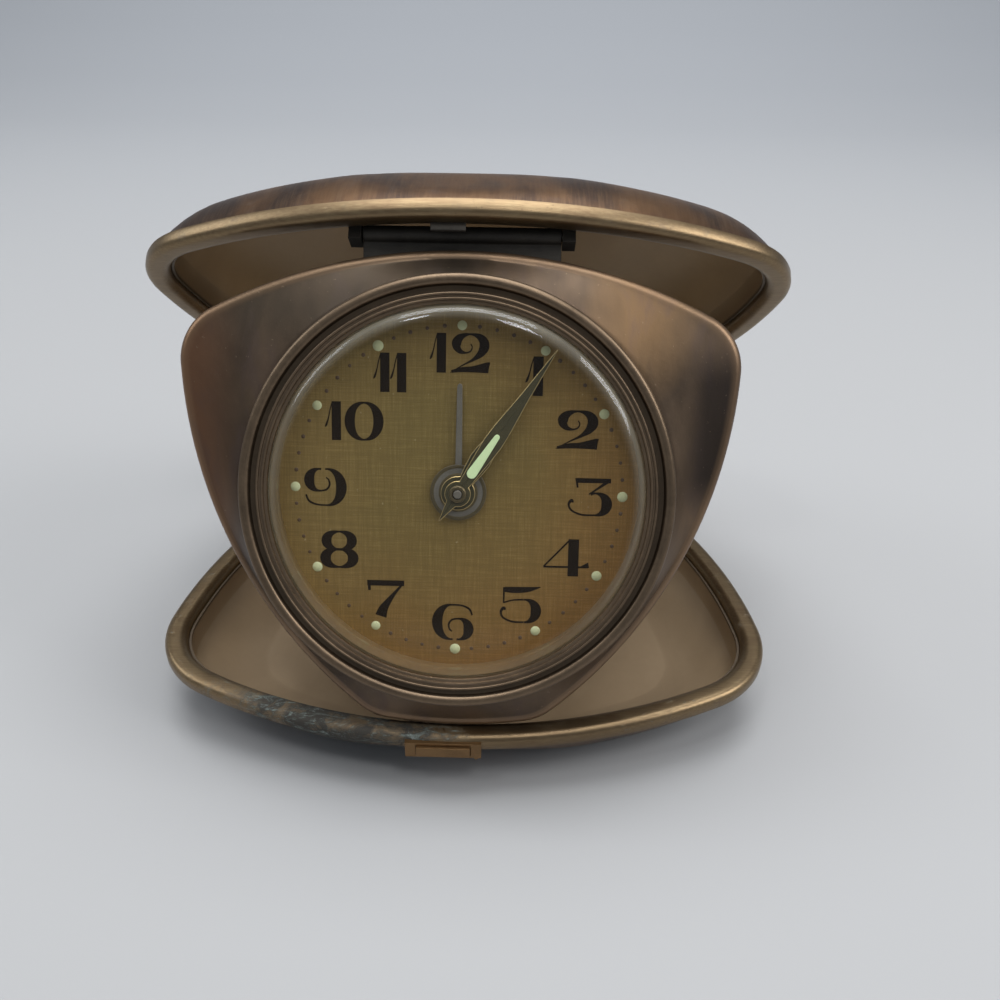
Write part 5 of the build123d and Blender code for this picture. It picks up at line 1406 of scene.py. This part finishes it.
@dataclass
class Face:
    """Bezel, crystal, reflector, dial and the marks on it."""

    ring_level: float = 2.23
    ring_foot: float = 0.5
    bezel_steps: int = 224
    crystal_edge: float = 21.82
    crystal_shoulder: float = 19.0
    crystal_foot: float = 2.3
    crystal_level: float = 3.15
    crystal_rise: float = 1.5
    crystal_wall: float = 0.9
    flange_radius: float = 22.3
    flange_top: float = 2.2
    flange_low: float = 1.42
    flange_step: float = 0.05
    dial_radius: float = 22.4
    dial_hole: float = 1.1
    dial_level: float = DIAL_LEVEL
    dial_low: float = -2.0
    dial_edge: float = 0.04
    minutes: Marks = Marks(60, 19.6, 0.235, 0.02, 14, 0.15, 0.10, skip=5)
    hours: Marks = Marks(12, 19.6, 0.60, 0.16, 20, 0.30, 0.07)

    @staticmethod
    def _bead(radius: float, level: float, half: float, rise: float, steps: int) -> list[tuple[float, float]]:
        """The rounded top of a bead.

        Args:
            radius: the radius of its crest.
            level: the level of its sides.
            half: half its width.
            rise: how high its crest stands over its sides.
            steps: how many steps its round has.

        Returns:
            Its points, from its outer side to its inner one.
        """
        turns = [math.pi * k / steps for k in range(1, steps)]
        return [(radius + half * math.cos(turn), level + rise * math.sin(turn)) for turn in turns]

    @staticmethod
    def _sphere(radius: float, edge: float, level: float, rise: float) -> float:
        """Height of a shallow dome at a radius.

        Args:
            radius: the radius asked for.
            edge: the radius of its edge.
            level: the level of its edge.
            rise: how high its middle stands over its edge.

        Returns:
            The height.
        """
        sphere = (edge ** 2 + rise ** 2) / (2 * rise)
        return level + rise - sphere + math.sqrt(sphere ** 2 - radius ** 2)

    def bezel_profile(self) -> Outline:
        """The bezel ring's section.

        Returns:
            Radius and height round it, from its neck outwards and in over its three beads.
        """
        low, seat = self.ring_level, self.ring_level + self.ring_foot
        points = [(22.4, low - 0.83), (23.1, low - 0.83), (23.1, low), (25.22, low), (25.3, low + 0.1),
                  (25.3, seat - 0.12), (25.28, seat)]
        points += self._bead(24.65, seat, 0.62, 0.47, 14)
        points += [(24.0, seat - 0.02), (23.88, seat - 0.2), (23.5, seat - 0.3), (23.3, seat - 0.28),
                   (23.22, seat - 0.1), (23.2, seat + 0.28)]
        points += self._bead(23.05, seat + 0.28, 0.15, 0.13, 6)
        points += [(22.9, seat + 0.26), (22.86, seat + 0.2), (22.66, seat + 0.17), (22.62, seat + 0.24)]
        points += self._bead(22.47, seat + 0.24, 0.15, 0.1, 5)
        return points + [(22.3, seat + 0.2), (22.26, seat + 0.1), (22.05, seat + 0.06), (21.95, seat + 0.02),
                         (21.9, seat - 0.06), (21.9, low), (22.4, low)]

    def crystal_profile(self) -> Outline:
        """The window's section.

        Returns:
            Radius and height round it, from the middle of its top.
        """
        centre = 0.02
        outer = [(radius, self._sphere(radius, self.crystal_edge, self.crystal_level, self.crystal_rise))
                 for radius in [centre] + [self.crystal_shoulder * k / 20 for k in range(1, 21)]]
        height = outer[-1][1]
        for turn in (math.pi / 2 * k / 8 for k in range(1, 9)):
            outer.append((self.crystal_shoulder + (self.crystal_edge - self.crystal_shoulder) * math.sin(turn),
                          self.crystal_foot + (height - self.crystal_foot) * math.cos(turn)))
        inside, top = self.crystal_edge - self.crystal_wall, self.flange_top
        rise = self.crystal_level + self.crystal_rise - self.crystal_wall - top
        inner = [(inside * k / 20, self._sphere(inside * k / 20, inside, top, rise)) for k in range(20, 0, -1)]
        flange = [(self.crystal_edge, top), (self.flange_radius, top), (self.flange_radius, self.flange_low),
                  (inside, self.flange_low), (inside, top - self.flange_step)]
        return outer + flange + inner + [(centre, top + rise)]

    def build(self) -> None:
        """Builds and dresses the face."""
        Workshop.dressed(Workshop.lathe("bezel_turning", self.bezel_profile(), self.bezel_steps),
                         TurnedBrass("turned_bezel").material(), "head", "bezel_brass", ["bezel_ring"])
        Workshop.dressed(Workshop.lathe("crystal_dome", self.crystal_profile()), Acrylic("clear_acrylic").material(),
                         "head", "crystal", ["crystal"])
        gold = WornMetal("reflector_gold", Place.HEAD, (0.42, 0.33, 0.18), (0.22, 0.155, 0.08), roughness=0.3)
        Workshop.dressed(Workshop.refined("reflector_ring", "reflector_piece"), gold.material(), slot="bezel_brass")
        section = [(self.dial_hole, self.dial_low), (self.dial_radius, self.dial_low),
                   (self.dial_radius, self.dial_level - self.dial_edge),
                   (self.dial_radius - self.dial_edge, self.dial_level), (self.dial_hole, self.dial_level)]
        Workshop.dressed(Workshop.lathe("dial_plate", section), BrushedDial("brushed_dial").material(), "head",
                         "dial_gold", ["dial"])
        brown = Paint("dot_brown", (0.045, 0.022, 0.008), (0.085, 0.045, 0.018)).material()
        Workshop.dressed(Strewing("minute_dots", brown, self.minutes).plain(self.dial_level), brown, "head",
                         "dial_gold")
        # The lume marks get a faint painted glow.
        green = Paint("lume_green", (0.47, 0.49, 0.30), (0.34, 0.36, 0.21), 0.75, 5.0, 0.04).material()
        Workshop.dressed(Strewing("lume_marks", green, self.hours).plain(self.dial_level), green, "head", "lume",
                         ["lume_dots"])


@dataclass(frozen=True)
class Stroke:
    """A pen stroke through points of x, y and full width, in shares of the numeral's height."""

    points: tuple[tuple[float, float, float], ...]
    straight: bool = False

    def outline(self, size: float, y: float) -> Outline:
        """The stroke's edge, up one side and down the other.

        Args:
            size: the numeral's height, in millimetres.
            y: the level of its middle.

        Returns:
            The edge, in millimetres.
        """
        path = self._path()
        left, right = [], []
        for k, (px, py, width) in enumerate(path):
            before = path[max(k - 1, 0)]
            after = path[min(k + 1, len(path) - 1)]
            heading = Vector((after[0] - before[0], after[1] - before[1])).normalized()
            side = Vector((-heading.y, heading.x)) * width / 2
            left.append(((px + side.x) * size, y + (py + side.y) * size))
            right.append(((px - side.x) * size, y + (py - side.y) * size))
        return left + right[::-1]

    def _path(self, steps: int = 7) -> list[tuple[float, float, float]]:
        """The centre line with its widths, rounded through the points unless it is straight.

        Args:
            steps: how many points each span gets.

        Returns:
            The line's points.
        """
        if self.straight:
            return list(self.points)
        ends = [self.points[0], *self.points, self.points[-1]]
        path = []
        for k in range(1, len(ends) - 2):
            quad = [Vector(p) for p in ends[k - 1:k + 3]]
            for j in range(steps):
                path.append(tuple(self._between(quad, j / steps)))
        path.append(self.points[-1])
        return path

    @staticmethod
    def _between(quad: list[Vector], t: float) -> Vector:
        """A point of the smooth curve between the middle two of four points."""
        a, b, c, d = quad
        return 0.5 * (2 * b + (c - a) * t + (2 * a - 5 * b + 4 * c - d) * t * t + (3 * b - a - 3 * c + d) * t ** 3)


def bowl(cx: float, cy: float, rx: float, ry: float, start: float, end: float, fat: float, thin: float,
         steps: int = 16) -> Stroke:
    """A stroke round part of an ellipse, fat at its sides and thin at its top and foot.

    Args:
        cx: centre across.
        cy: centre up.
        rx: half width of the centre line.
        ry: half height of the centre line.
        start: first angle in degrees.
        end: last angle in degrees.
        fat: width at the sides.
        thin: width at the top and foot.
        steps: how many points.

    Returns:
        The stroke.
    """
    points = []
    for k in range(steps + 1):
        turn = math.radians(start + (end - start) * k / steps)
        width = thin + (fat - thin) * abs(math.cos(turn)) ** 1.5
        points.append((cx + rx * math.cos(turn), cy + ry * math.sin(turn), width))
    return Stroke(tuple(points), True)


# The figures: width, and strokes with their foot at -0.5 and their top at 0.5

HAIR = 0.045
FIGURES: dict[str, tuple[float, list[Stroke]]] = {
    "1": (0.36, [Stroke(((0.06, 0.5, 0.26), (0.06, -0.5, 0.26)), True),
                 Stroke(((-0.05, 0.49, 0.03), (-0.11, 0.30, 0.03), (-0.16, 0.08, 0.035), (-0.22, -0.10, 0.06),
                         (-0.26, -0.16, 0.02)))]),
    "0": (1.10, [bowl(0, 0, 0.405, 0.478, 90, 450, 0.29, HAIR, 36)]),
    "2": (1.10, [bowl(0.02, 0.2, 0.39, 0.278, 172, -28, 0.28, HAIR, 18),
                 Stroke(((0.37, 0.09, 0.25), (0.30, -0.01, 0.19), (0.10, -0.16, 0.08), (-0.2, -0.31, 0.035),
                         (-0.53, -0.49, 0.02))),
                 Stroke(((-0.50, -0.465, 0.07), (-0.2, -0.415, 0.13), (0.1, -0.40, 0.16), (0.47, -0.36, 0.27),
                         (0.54, -0.36, 0.28))),
                 Stroke(((-0.37, 0.28, 0.26), (-0.355, 0.16, 0.22), (-0.26, 0.05, 0.13), (-0.11, 0.01, 0.05),
                         (0.02, 0.05, 0.04), (0.07, 0.15, 0.035), (0.03, 0.24, 0.03)))]),
    "3": (1.12, [Stroke(((-0.36, 0.43, 0.13), (0.54, 0.43, 0.12)), True),
                 Stroke(((-0.36, 0.49, 0.06), (-0.32, 0.24, 0.05)), True),
                 Stroke(((0.50, 0.44, 0.09), (0.14, 0.18, 0.05), (-0.02, 0.07, 0.035)), True),
                 bowl(0.14, -0.19, 0.31, 0.29, 112, -90, 0.28, HAIR, 18),
                 Stroke(((0.14, -0.478, 0.045), (-0.20, -0.47, 0.05), (-0.46, -0.36, 0.05), (-0.54, -0.20, 0.06),
                         (-0.47, -0.10, 0.085), (-0.42, -0.15, 0.04)))]),
    "4": (1.22, [Stroke(((0.17, 0.5, 0.28), (0.17, -0.5, 0.28)), True),
                 Stroke(((0.07, 0.48, 0.045), (-0.60, -0.24, 0.045)), True),
                 Stroke(((-0.61, -0.25, 0.05), (0.56, -0.25, 0.05)), True),
                 Stroke(((0.38, -0.23, 0.02), (0.58, -0.19, 0.16)), True)]),
    "5": (1.08, [Stroke(((-0.42, 0.41, 0.14), (-0.16, 0.40, 0.17), (0.2, 0.42, 0.14), (0.53, 0.49, 0.02))),
                 Stroke(((-0.44, 0.47, 0.05), (-0.44, 0.04, 0.045)), True),
                 Stroke(((-0.44, 0.05, 0.04), (-0.20, 0.12, 0.04), (0.08, 0.14, 0.05))),
                 bowl(0.12, -0.17, 0.30, 0.31, 96, -92, 0.28, HAIR, 18),
                 Stroke(((0.10, -0.478, 0.045), (-0.2, -0.47, 0.05), (-0.45, -0.36, 0.05), (-0.51, -0.20, 0.06),
                         (-0.44, -0.10, 0.085), (-0.39, -0.15, 0.04)))]),
    "6": (1.12, [bowl(-0.04, 0, 0.38, 0.478, 88, 276, 0.28, HAIR, 22),
                 Stroke(((-0.05, 0.478, 0.045), (0.22, 0.462, 0.045), (0.43, 0.37, 0.055), (0.51, 0.20, 0.045))),
                 bowl(0.15, -0.19, 0.27, 0.288, -100, 96, 0.27, HAIR, 16),
                 Stroke(((0.12, 0.098, 0.045), (-0.03, 0.06, 0.05), (-0.11, -0.06, 0.05), (-0.09, -0.19, 0.045),
                         (-0.02, -0.26, 0.03)))]),
    "7": (1.0, [Stroke(((-0.48, 0.42, 0.15), (0.50, 0.42, 0.15)), True),
                Stroke(((-0.44, 0.49, 0.09), (-0.42, 0.22, 0.07)), True),
                Stroke(((0.46, 0.40, 0.05), (0.29, 0.2, 0.08), (0.10, -0.05, 0.15), (-0.05, -0.28, 0.24),
                        (-0.12, -0.49, 0.31)))]),
    "8": (1.04, [bowl(0, 0.235, 0.335, 0.243, 90, 450, 0.27, HAIR, 32),
                 bowl(0, -0.235, 0.365, 0.243, 90, 450, 0.29, HAIR, 32)]),
    "9": (1.12, [bowl(0.04, 0, 0.38, 0.478, 268, 456, 0.28, HAIR, 22),
                 Stroke(((0.05, -0.478, 0.045), (-0.22, -0.462, 0.045), (-0.43, -0.37, 0.055), (-0.51, -0.20, 0.045))),
                 bowl(-0.15, 0.19, 0.27, 0.288, 80, 276, 0.27, HAIR, 16),
                 Stroke(((-0.12, -0.098, 0.045), (0.03, -0.06, 0.05), (0.11, 0.06, 0.05), (0.09, 0.19, 0.045),
                         (0.02, 0.26, 0.03)))])}


@dataclass
class Numerals:
    """The hour numerals, in a plain fat-faced style, with the middles of the hours on the dial."""

    size: float = 4.6
    pair_share: float = 0.92
    gap_share: float = 0.10
    ink_height: float = 0.018
    ink_depth: float = 0.01
    layer_height: float = 0.003
    centres: tuple[tuple[int, float, float], ...] = (
        (12, 0.1, 16.4), (1, 8.9, 13.9), (2, 13.9, 7.7), (3, 15.7, -0.3), (4, 13.2, -7.8), (5, 7.7, -13.8),
        (6, -0.5, -16.2), (7, -8.8, -13.4), (8, -14.4, -7.4), (9, -16.0, 0.2), (10, -12.3, 8.2), (11, -8.1, 14.0))

    def build(self) -> None:
        """Builds and dresses the numerals as one printed layer."""
        points: Ring = []
        faces: list[Corners] = []
        gap = self.gap_share * self.size
        for hour, x, y in self.centres:
            figures = [FIGURES[digit] for digit in str(hour)]
            narrow = self.pair_share if len(figures) > 1 else 1.0
            reaches = [width * self.size * narrow for width, _ in figures]
            pen = x - (sum(reaches) + gap * (len(figures) - 1)) / 2
            for reach, (_, strokes) in zip(reaches, figures):
                for layer, stroke in enumerate(strokes):
                    edge = [(pen + reach / 2 + px * narrow, py) for px, py in stroke.outline(self.size, y)]
                    corners, sides = self._ribbon(edge, layer, len(points))
                    points += corners
                    faces += sides
                pen += reach + gap
        ink = Paint("numeral_ink", (0.008, 0.005, 0.003), (0.018, 0.012, 0.007), 0.7, 4.0, gloss=0.0).material()
        Workshop.dressed(Workshop.piece("numerals", points, faces, Place.HEAD, 30.0), ink, "head", "hand_dark")

    def _ribbon(self, edge: Outline, layer: int, start: int) -> tuple[Ring, list[Corners]]:
        """One stroke as a low ribbon, a hair higher for each later layer.

        Args:
            edge: the stroke's edge, up one side and down the other.
            layer: the stroke's number in its figure.
            start: the number of its first point.

        Returns:
            Its points and faces.
        """
        count = len(edge)
        levels = (DIAL_LEVEL - self.ink_depth, DIAL_LEVEL + self.ink_height + self.layer_height * layer)
        faces = Workshop.walls(2, count)
        for k in range(count // 2 - 1):
            first, second, third, fourth = k, k + 1, count - 2 - k, count - 1 - k
            faces += [(count + first, count + second, count + third, count + fourth), (first, fourth, third, second)]
        return ([Vector((x, y, level)) for level in levels for x, y in edge],
                [tuple(start + corner for corner in face) for face in faces])


@dataclass(frozen=True)
class Blade:
    """The sizes of a leaf-shaped hand, in millimetres, and where it points."""

    name: str
    body: str
    length: float
    width: float
    tail: float
    hub: float
    low: float
    turn: float


@dataclass
class Hands:
    """The three hands with their hubs, lume and centre pipe."""

    minute: Blade = Blade("minute", "minute_work", 20.4, 2.3, 3.95, 1.55, 0.05, 33.6)
    hour: Blade = Blade("hour", "hour_work", 13.1, 2.6, 0.0, 2.05, -0.5, 32.8)
    thickness: float = 0.2
    blade_chamfer: float = 0.07
    leaf: Outline = ((0.52, 0.66), (0.9, 0.46), (1.0, 0.36), (0.86, 0.24))
    tip: float = 0.06
    hub_arc: tuple[float, float] = (64.0, -66.0)
    gilt_facing: tuple[float, float] = (0.15, 0.985)
    lume_edge: Outline = ((0.22, 8.42), (0.32, 8.2), (0.60, 3.0), (0.52, 2.65), (0.28, 2.42))
    lume_ends: tuple[float, float] = (8.5, 2.35)
    lume_rise: float = 0.08
    lume_sink: float = 0.02
    lume_chamfer: float = 0.06
    alarm_low: float = -1.05
    alarm_turn: float = 0.2
    alarm_length: float = 12.9
    alarm_half: float = 0.40
    alarm_hub: float = 3.35
    alarm_tip: Outline = ((0.20, -0.1), (0.29, -0.3), (0.31, -0.7))
    alarm_chamfer: float = 0.05
    collar_rise: float = 0.02
    collar: Outline = ((1.2, -0.05), (3.33, -0.05), (3.33, -0.02), (3.26, 0.0), (2.95, 0.0), (2.90, -0.03),
                       (2.35, -0.03), (2.30, 0.0), (1.2, 0.0))
    collet: Outline = ((0.56, 0.2), (1.0, 0.2), (1.06, 0.3), (1.02, 0.52), (0.9, 0.6), (0.62, 0.6), (0.56, 0.52))
    arbor_edge: float = 0.08

    @staticmethod
    def _mirrored(right: Outline, degrees: float) -> Outline:
        """A right half from top to foot made whole and turned clockwise about the dial's centre.

        Args:
            right: the half, with its first and last points on the middle line.
            degrees: the turn.

        Returns:
            The whole outline.
        """
        turn = -math.radians(degrees)
        whole = [*right, *((-x, y) for x, y in reversed(right[1:-1]))]
        return [(x * math.cos(turn) - y * math.sin(turn), x * math.sin(turn) + y * math.cos(turn)) for x, y in whole]

    @staticmethod
    def _round(radius: float, start: float, end: float, steps: int) -> list[tuple[float, float]]:
        """Points round a hub.

        Args:
            radius: the hub's radius.
            start: the first angle, in degrees.
            end: the last angle.
            steps: how many steps lie between them.

        Returns:
            The points.
        """
        turns = [math.radians(start + (end - start) * k / steps) for k in range(steps + 1)]
        return [(radius * math.cos(turn), radius * math.sin(turn)) for turn in turns]

    def blade(self, sizes: Blade, dark: bpy.types.Material, gilt: bpy.types.Material) -> None:
        """Builds and dresses a dark hand with its gilt chamfered edge.

        Args:
            sizes: the hand's sizes.
            dark: its finish.
            gilt: its edge's finish.
        """
        top = [(self.tip, sizes.length)]
        leaf = [(sizes.width / 2 * share, sizes.length * height) for share, height in self.leaf]
        foot = [(0.05, -sizes.tail), (0.0, -sizes.tail - 0.04)] if sizes.tail > sizes.hub else [(0.0, -sizes.hub)]
        right = top + leaf + self._round(sizes.hub, *self.hub_arc, 9) + foot
        outline = self._mirrored([(0.0, sizes.length), *right], sizes.turn)[1:]
        piece = Workshop.plate(sizes.name + "_blade", outline, sizes.low, sizes.low + self.thickness,
                               self.blade_chamfer)
        Workshop.dressed(piece, dark, sizes.body, "hand_dark", [sizes.name + "_hand"])
        piece.data.materials.append(gilt)
        facing = (Place.HEAD.matrix().to_3x3() @ Vector((0, 0, 1))).normalized()
        for face in piece.data.polygons:
            if self.gilt_facing[0] < face.normal.dot(facing) < self.gilt_facing[1]:
                face.material_index = 1

    def lume(self, sizes: Blade, green: bpy.types.Material) -> None:
        """Builds and dresses the raised lume filling of a hand, round at both ends.

        Args:
            sizes: the hand's sizes.
            green: its finish.
        """
        right = [(0.0, self.lume_ends[0]), *self.lume_edge, (0.0, self.lume_ends[1])]
        top = sizes.low + self.thickness
        piece = Workshop.plate(sizes.name + "_lume", self._mirrored(right, sizes.turn), top - self.lume_sink,
                               top + self.lume_rise, self.lume_chamfer)
        Workshop.dressed(piece, green, sizes.body, "lume", [sizes.name + "_hand_lume"])

    def baton(self) -> bpy.types.Object:
        """The grey alarm baton with its round hub.

        Returns:
            The piece.
        """
        length = self.alarm_length
        start = math.degrees(math.acos(self.alarm_half / self.alarm_hub))
        right = [(0.0, length)] + [(half, length + drop) for half, drop in self.alarm_tip]
        right += self._round(self.alarm_hub, start, -90.0, 24)
        return Workshop.plate("alarm_baton", self._mirrored(right, self.alarm_turn), self.alarm_low,
                              self.alarm_low + self.thickness, self.alarm_chamfer)

    def build(self) -> None:
        """Builds and dresses the hands and what carries them."""
        dark = Paint("hand_olive", (0.028, 0.024, 0.010), (0.050, 0.042, 0.018), 0.40, 2.0, gloss=0.3).material()
        gilt = WornMetal("hand_gilt", Place.HEAD, (0.55, 0.42, 0.20), (0.30, 0.21, 0.09), roughness=0.22).material()
        grey = WornMetal("hand_grey", Place.HEAD, (0.17, 0.155, 0.135), (0.085, 0.075, 0.060), metallic=0.45,
                         roughness=0.42).material()
        # The hands' lume gets a faint painted glow.
        green = Paint("hand_lume", (0.52, 0.66, 0.38), (0.42, 0.53, 0.30), 0.7, 5.0, 0.10).material()
        for sizes in (self.minute, self.hour):
            self.blade(sizes, dark, gilt)
        for sizes in (self.minute, self.hour):
            self.lume(sizes, green)
        Workshop.dressed(self.baton(), grey, "alarm_work", "hand_grey", ["alarm_hand"])
        hub = WornMetal("hub_olive", Place.HEAD, (0.14, 0.108, 0.055), (0.055, 0.042, 0.022), metallic=0.7,
                        roughness=0.30).material()
        top = self.alarm_low + self.thickness + self.collar_rise
        collar = [(radius, top + height) for radius, height in self.collar]
        Workshop.dressed(Workshop.lathe("alarm_collar", collar, 72), hub, "alarm_work", "hand_grey")
        Workshop.dressed(Workshop.lathe("minute_collet", self.collet, 40), hub, "minute_work", "hand_grey")
        Workshop.dressed(Workshop.refined("centre_arbor", "centre_pin", self.arbor_edge), grey, slot="steel")


@dataclass
class Works:
    """The movement inside and the keys and knobs on the back."""

    brass: tuple[str, ...] = (
        "front_plate", "back_plate", "plate_pillars", "dial_spacer", "movement_posts", "time_barrel", "alarm_barrel",
        "balance_cock", "hammer_stud", "cannon_pinion", "centre_wheel", "hour_wheel", "minute_wheel", "alarm_wheel",
        "balance_wheel")
    steel: tuple[str, ...] = ("pillar_screws", "clicks", "alarm_set_arbor", "time_winding_arbor", "time_ratchet",
                              "alarm_winding_arbor", "alarm_ratchet", "hairspring", "alarm_hammer")
    knobs: tuple[str, ...] = ("time_key", "alarm_key", "time_set_knob", "alarm_set_knob")
    small: tuple[str, ...] = ("cover_screws", "regulator_lever")
    knob_edge: float = 0.14
    small_edge: float = 0.06
    stop_edge: float = 0.15

    def build(self) -> None:
        """Dresses the works."""
        brass = WornMetal("movement_gilt", Place.HEAD, (0.55, 0.40, 0.18), (0.34, 0.23, 0.095),
                          roughness=0.28).material()
        steel = WornMetal("movement_steel", Place.HEAD, (0.46, 0.46, 0.45), (0.24, 0.24, 0.235),
                          roughness=0.26).material()
        gilt = WornMetal("knob_gilt", Place.HEAD, (0.46, 0.33, 0.155), (0.20, 0.14, 0.07), roughness=0.28).material()
        grey = Paint("stop_paint", (0.22, 0.20, 0.17), (0.12, 0.11, 0.095), 0.45).material()
        for nodes, coat in ((self.brass, brass), (self.steel, steel)):
            for node in nodes:
                Workshop.recoat(node, coat)
        Workshop.refinished(self.knobs, gilt, "knob_brass", self.knob_edge)
        Workshop.refinished(self.small, steel, "steel", self.small_edge)
        Workshop.refinished(("alarm_stop",), grey, "dark_steel", self.stop_edge)


@dataclass(frozen=True)
class Lamp:
    """A soft square lamp that faces the clock, in metres and watts."""

    name: str
    place: Point
    size: float
    power: float
    colour: Colour = (1.0, 1.0, 1.0)

    def hang(self) -> None:
        """Puts the lamp in the scene."""
        light = bpy.data.lights.new(self.name, "AREA")
        light.size = self.size
        light.energy = self.power
        light.color = self.colour
        shown = bpy.data.objects.new(self.name, light)
        shown.location = self.place
        shown.rotation_euler = (Vector((0, 0, 0.03)) - Vector(self.place)).to_track_quat("-Z", "Y").to_euler()
        bpy.context.scene.collection.objects.link(shown)


@dataclass
class Studio:
    """Floor, backdrop, lamps and the camera at the photograph's view."""

    focal_pixels: float = 932.8
    frame_pixels: float = 1000.0
    film: float = 36.0
    elevation: float = 33.94
    azimuth: float = 1.06
    roll: float = 0.68
    distance: float = 121.8
    target: Point = (4.83, -14.31, 30.54)
    floor: Colour = (0.335, 0.335, 0.338)
    wall: Colour = (0.372, 0.385, 0.408)
    air: Colour = (0.80, 0.86, 0.94)
    air_strength: float = 0.34
    floor_near: float = -0.9
    floor_far: float = 0.35
    half_width: float = 1.4
    bend: float = 0.45
    bend_steps: int = 10
    wall_height: float = 1.2
    lamps: tuple[Lamp, ...] = (
        Lamp("sky", (0.0, 0.10, 0.62), 0.50, 4.9, (0.97, 0.985, 1.0)),
        Lamp("window_right", (0.42, -0.12, 0.36), 0.26, 1.5),
        Lamp("glint_left", (-0.14, -0.244, 0.53), 0.055, 0.22),
        Lamp("glint_right", (0.11, -0.282, 0.52), 0.095, 0.44),
        Lamp("window_left", (-0.42, 0.02, 0.34), 0.24, 0.7, (0.93, 0.97, 1.0)))

    def camera(self) -> None:
        """Sets the camera."""
        e, a, roll = (math.radians(v) for v in (self.elevation, self.azimuth, self.roll))
        back = Vector((math.sin(a) * math.cos(e), -math.cos(a) * math.cos(e), math.sin(e)))
        right = (-back).cross(Vector((0, 0, 1))).normalized()
        up = right.cross(-back)
        across = right * math.cos(roll) + up * math.sin(roll)
        over = -right * math.sin(roll) + up * math.cos(roll)
        lens = bpy.data.cameras.new("view")
        lens.lens = self.focal_pixels * self.film / self.frame_pixels
        lens.sensor_width = self.film
        lens.clip_start = 0.005
        eye = bpy.data.objects.new("view", lens)
        turn = Matrix((across, over, back)).transposed().to_4x4()
        eye.matrix_world = Matrix.Translation((Vector(self.target) + back * self.distance) * MM) @ turn
        bpy.context.scene.collection.objects.link(eye)
        bpy.context.scene.camera = eye

    def sweep(self) -> None:
        """The floor that curves up into the backdrop."""
        turns = [math.pi / 2 * k / self.bend_steps for k in range(self.bend_steps + 1)]
        rows = [(self.floor_near, 0.0), (self.floor_near / 3, 0.0)]
        rows += [(self.floor_far + self.bend * math.sin(turn), self.bend * (1 - math.cos(turn))) for turn in turns]
        rows += [(self.floor_far + self.bend, self.wall_height)]
        points = [(x, y, z) for y, z in rows for x in (-self.half_width, self.half_width)]
        mesh = bpy.data.meshes.new("sweep")
        mesh.from_pydata(points, [], [(2 * k, 2 * k + 1, 2 * k + 3, 2 * k + 2) for k in range(len(rows) - 1)])
        for face in mesh.polygons:
            face.use_smooth = True
        shown = bpy.data.objects.new("sweep", mesh)
        bpy.context.scene.collection.objects.link(shown)
        tree = Finishing("paper")
        _, along, _ = tree.axes(tree.node("ShaderNodeTexCoord", {}, {}, "Object"))
        colour = tree.blend(along.step(0.05, 0.55), self.floor, self.wall)
        mesh.materials.append(tree.done(tree.surface({"Base Color": colour, "Roughness": 0.9,
                                                      "Specular IOR Level": 0.1})))

    def build(self) -> None:
        """Sets the stage."""
        world = bpy.data.worlds.new("room")
        world.use_nodes = True
        back = world.node_tree.nodes["Background"]
        back.inputs["Color"].default_value = (*self.air, 1.0)
        back.inputs["Strength"].default_value = self.air_strength
        bpy.context.scene.world = world
        for lamp in self.lamps:
            lamp.hang()
        self.sweep()
        self.camera()
        bpy.context.scene.view_settings.view_transform = "Standard"


def main() -> None:
    """Builds every sub-assembly in order, then the stage."""
    logging.basicConfig(level=logging.INFO, format="%(name)s %(message)s")
    for part in (Shells(), Fittings(), HeadCase(), Face(), Numerals(), Hands(), Works(), Studio()):
        LOG.info("building %s", type(part).__name__)
        part.build()


if __name__ == "__main__":
    main()
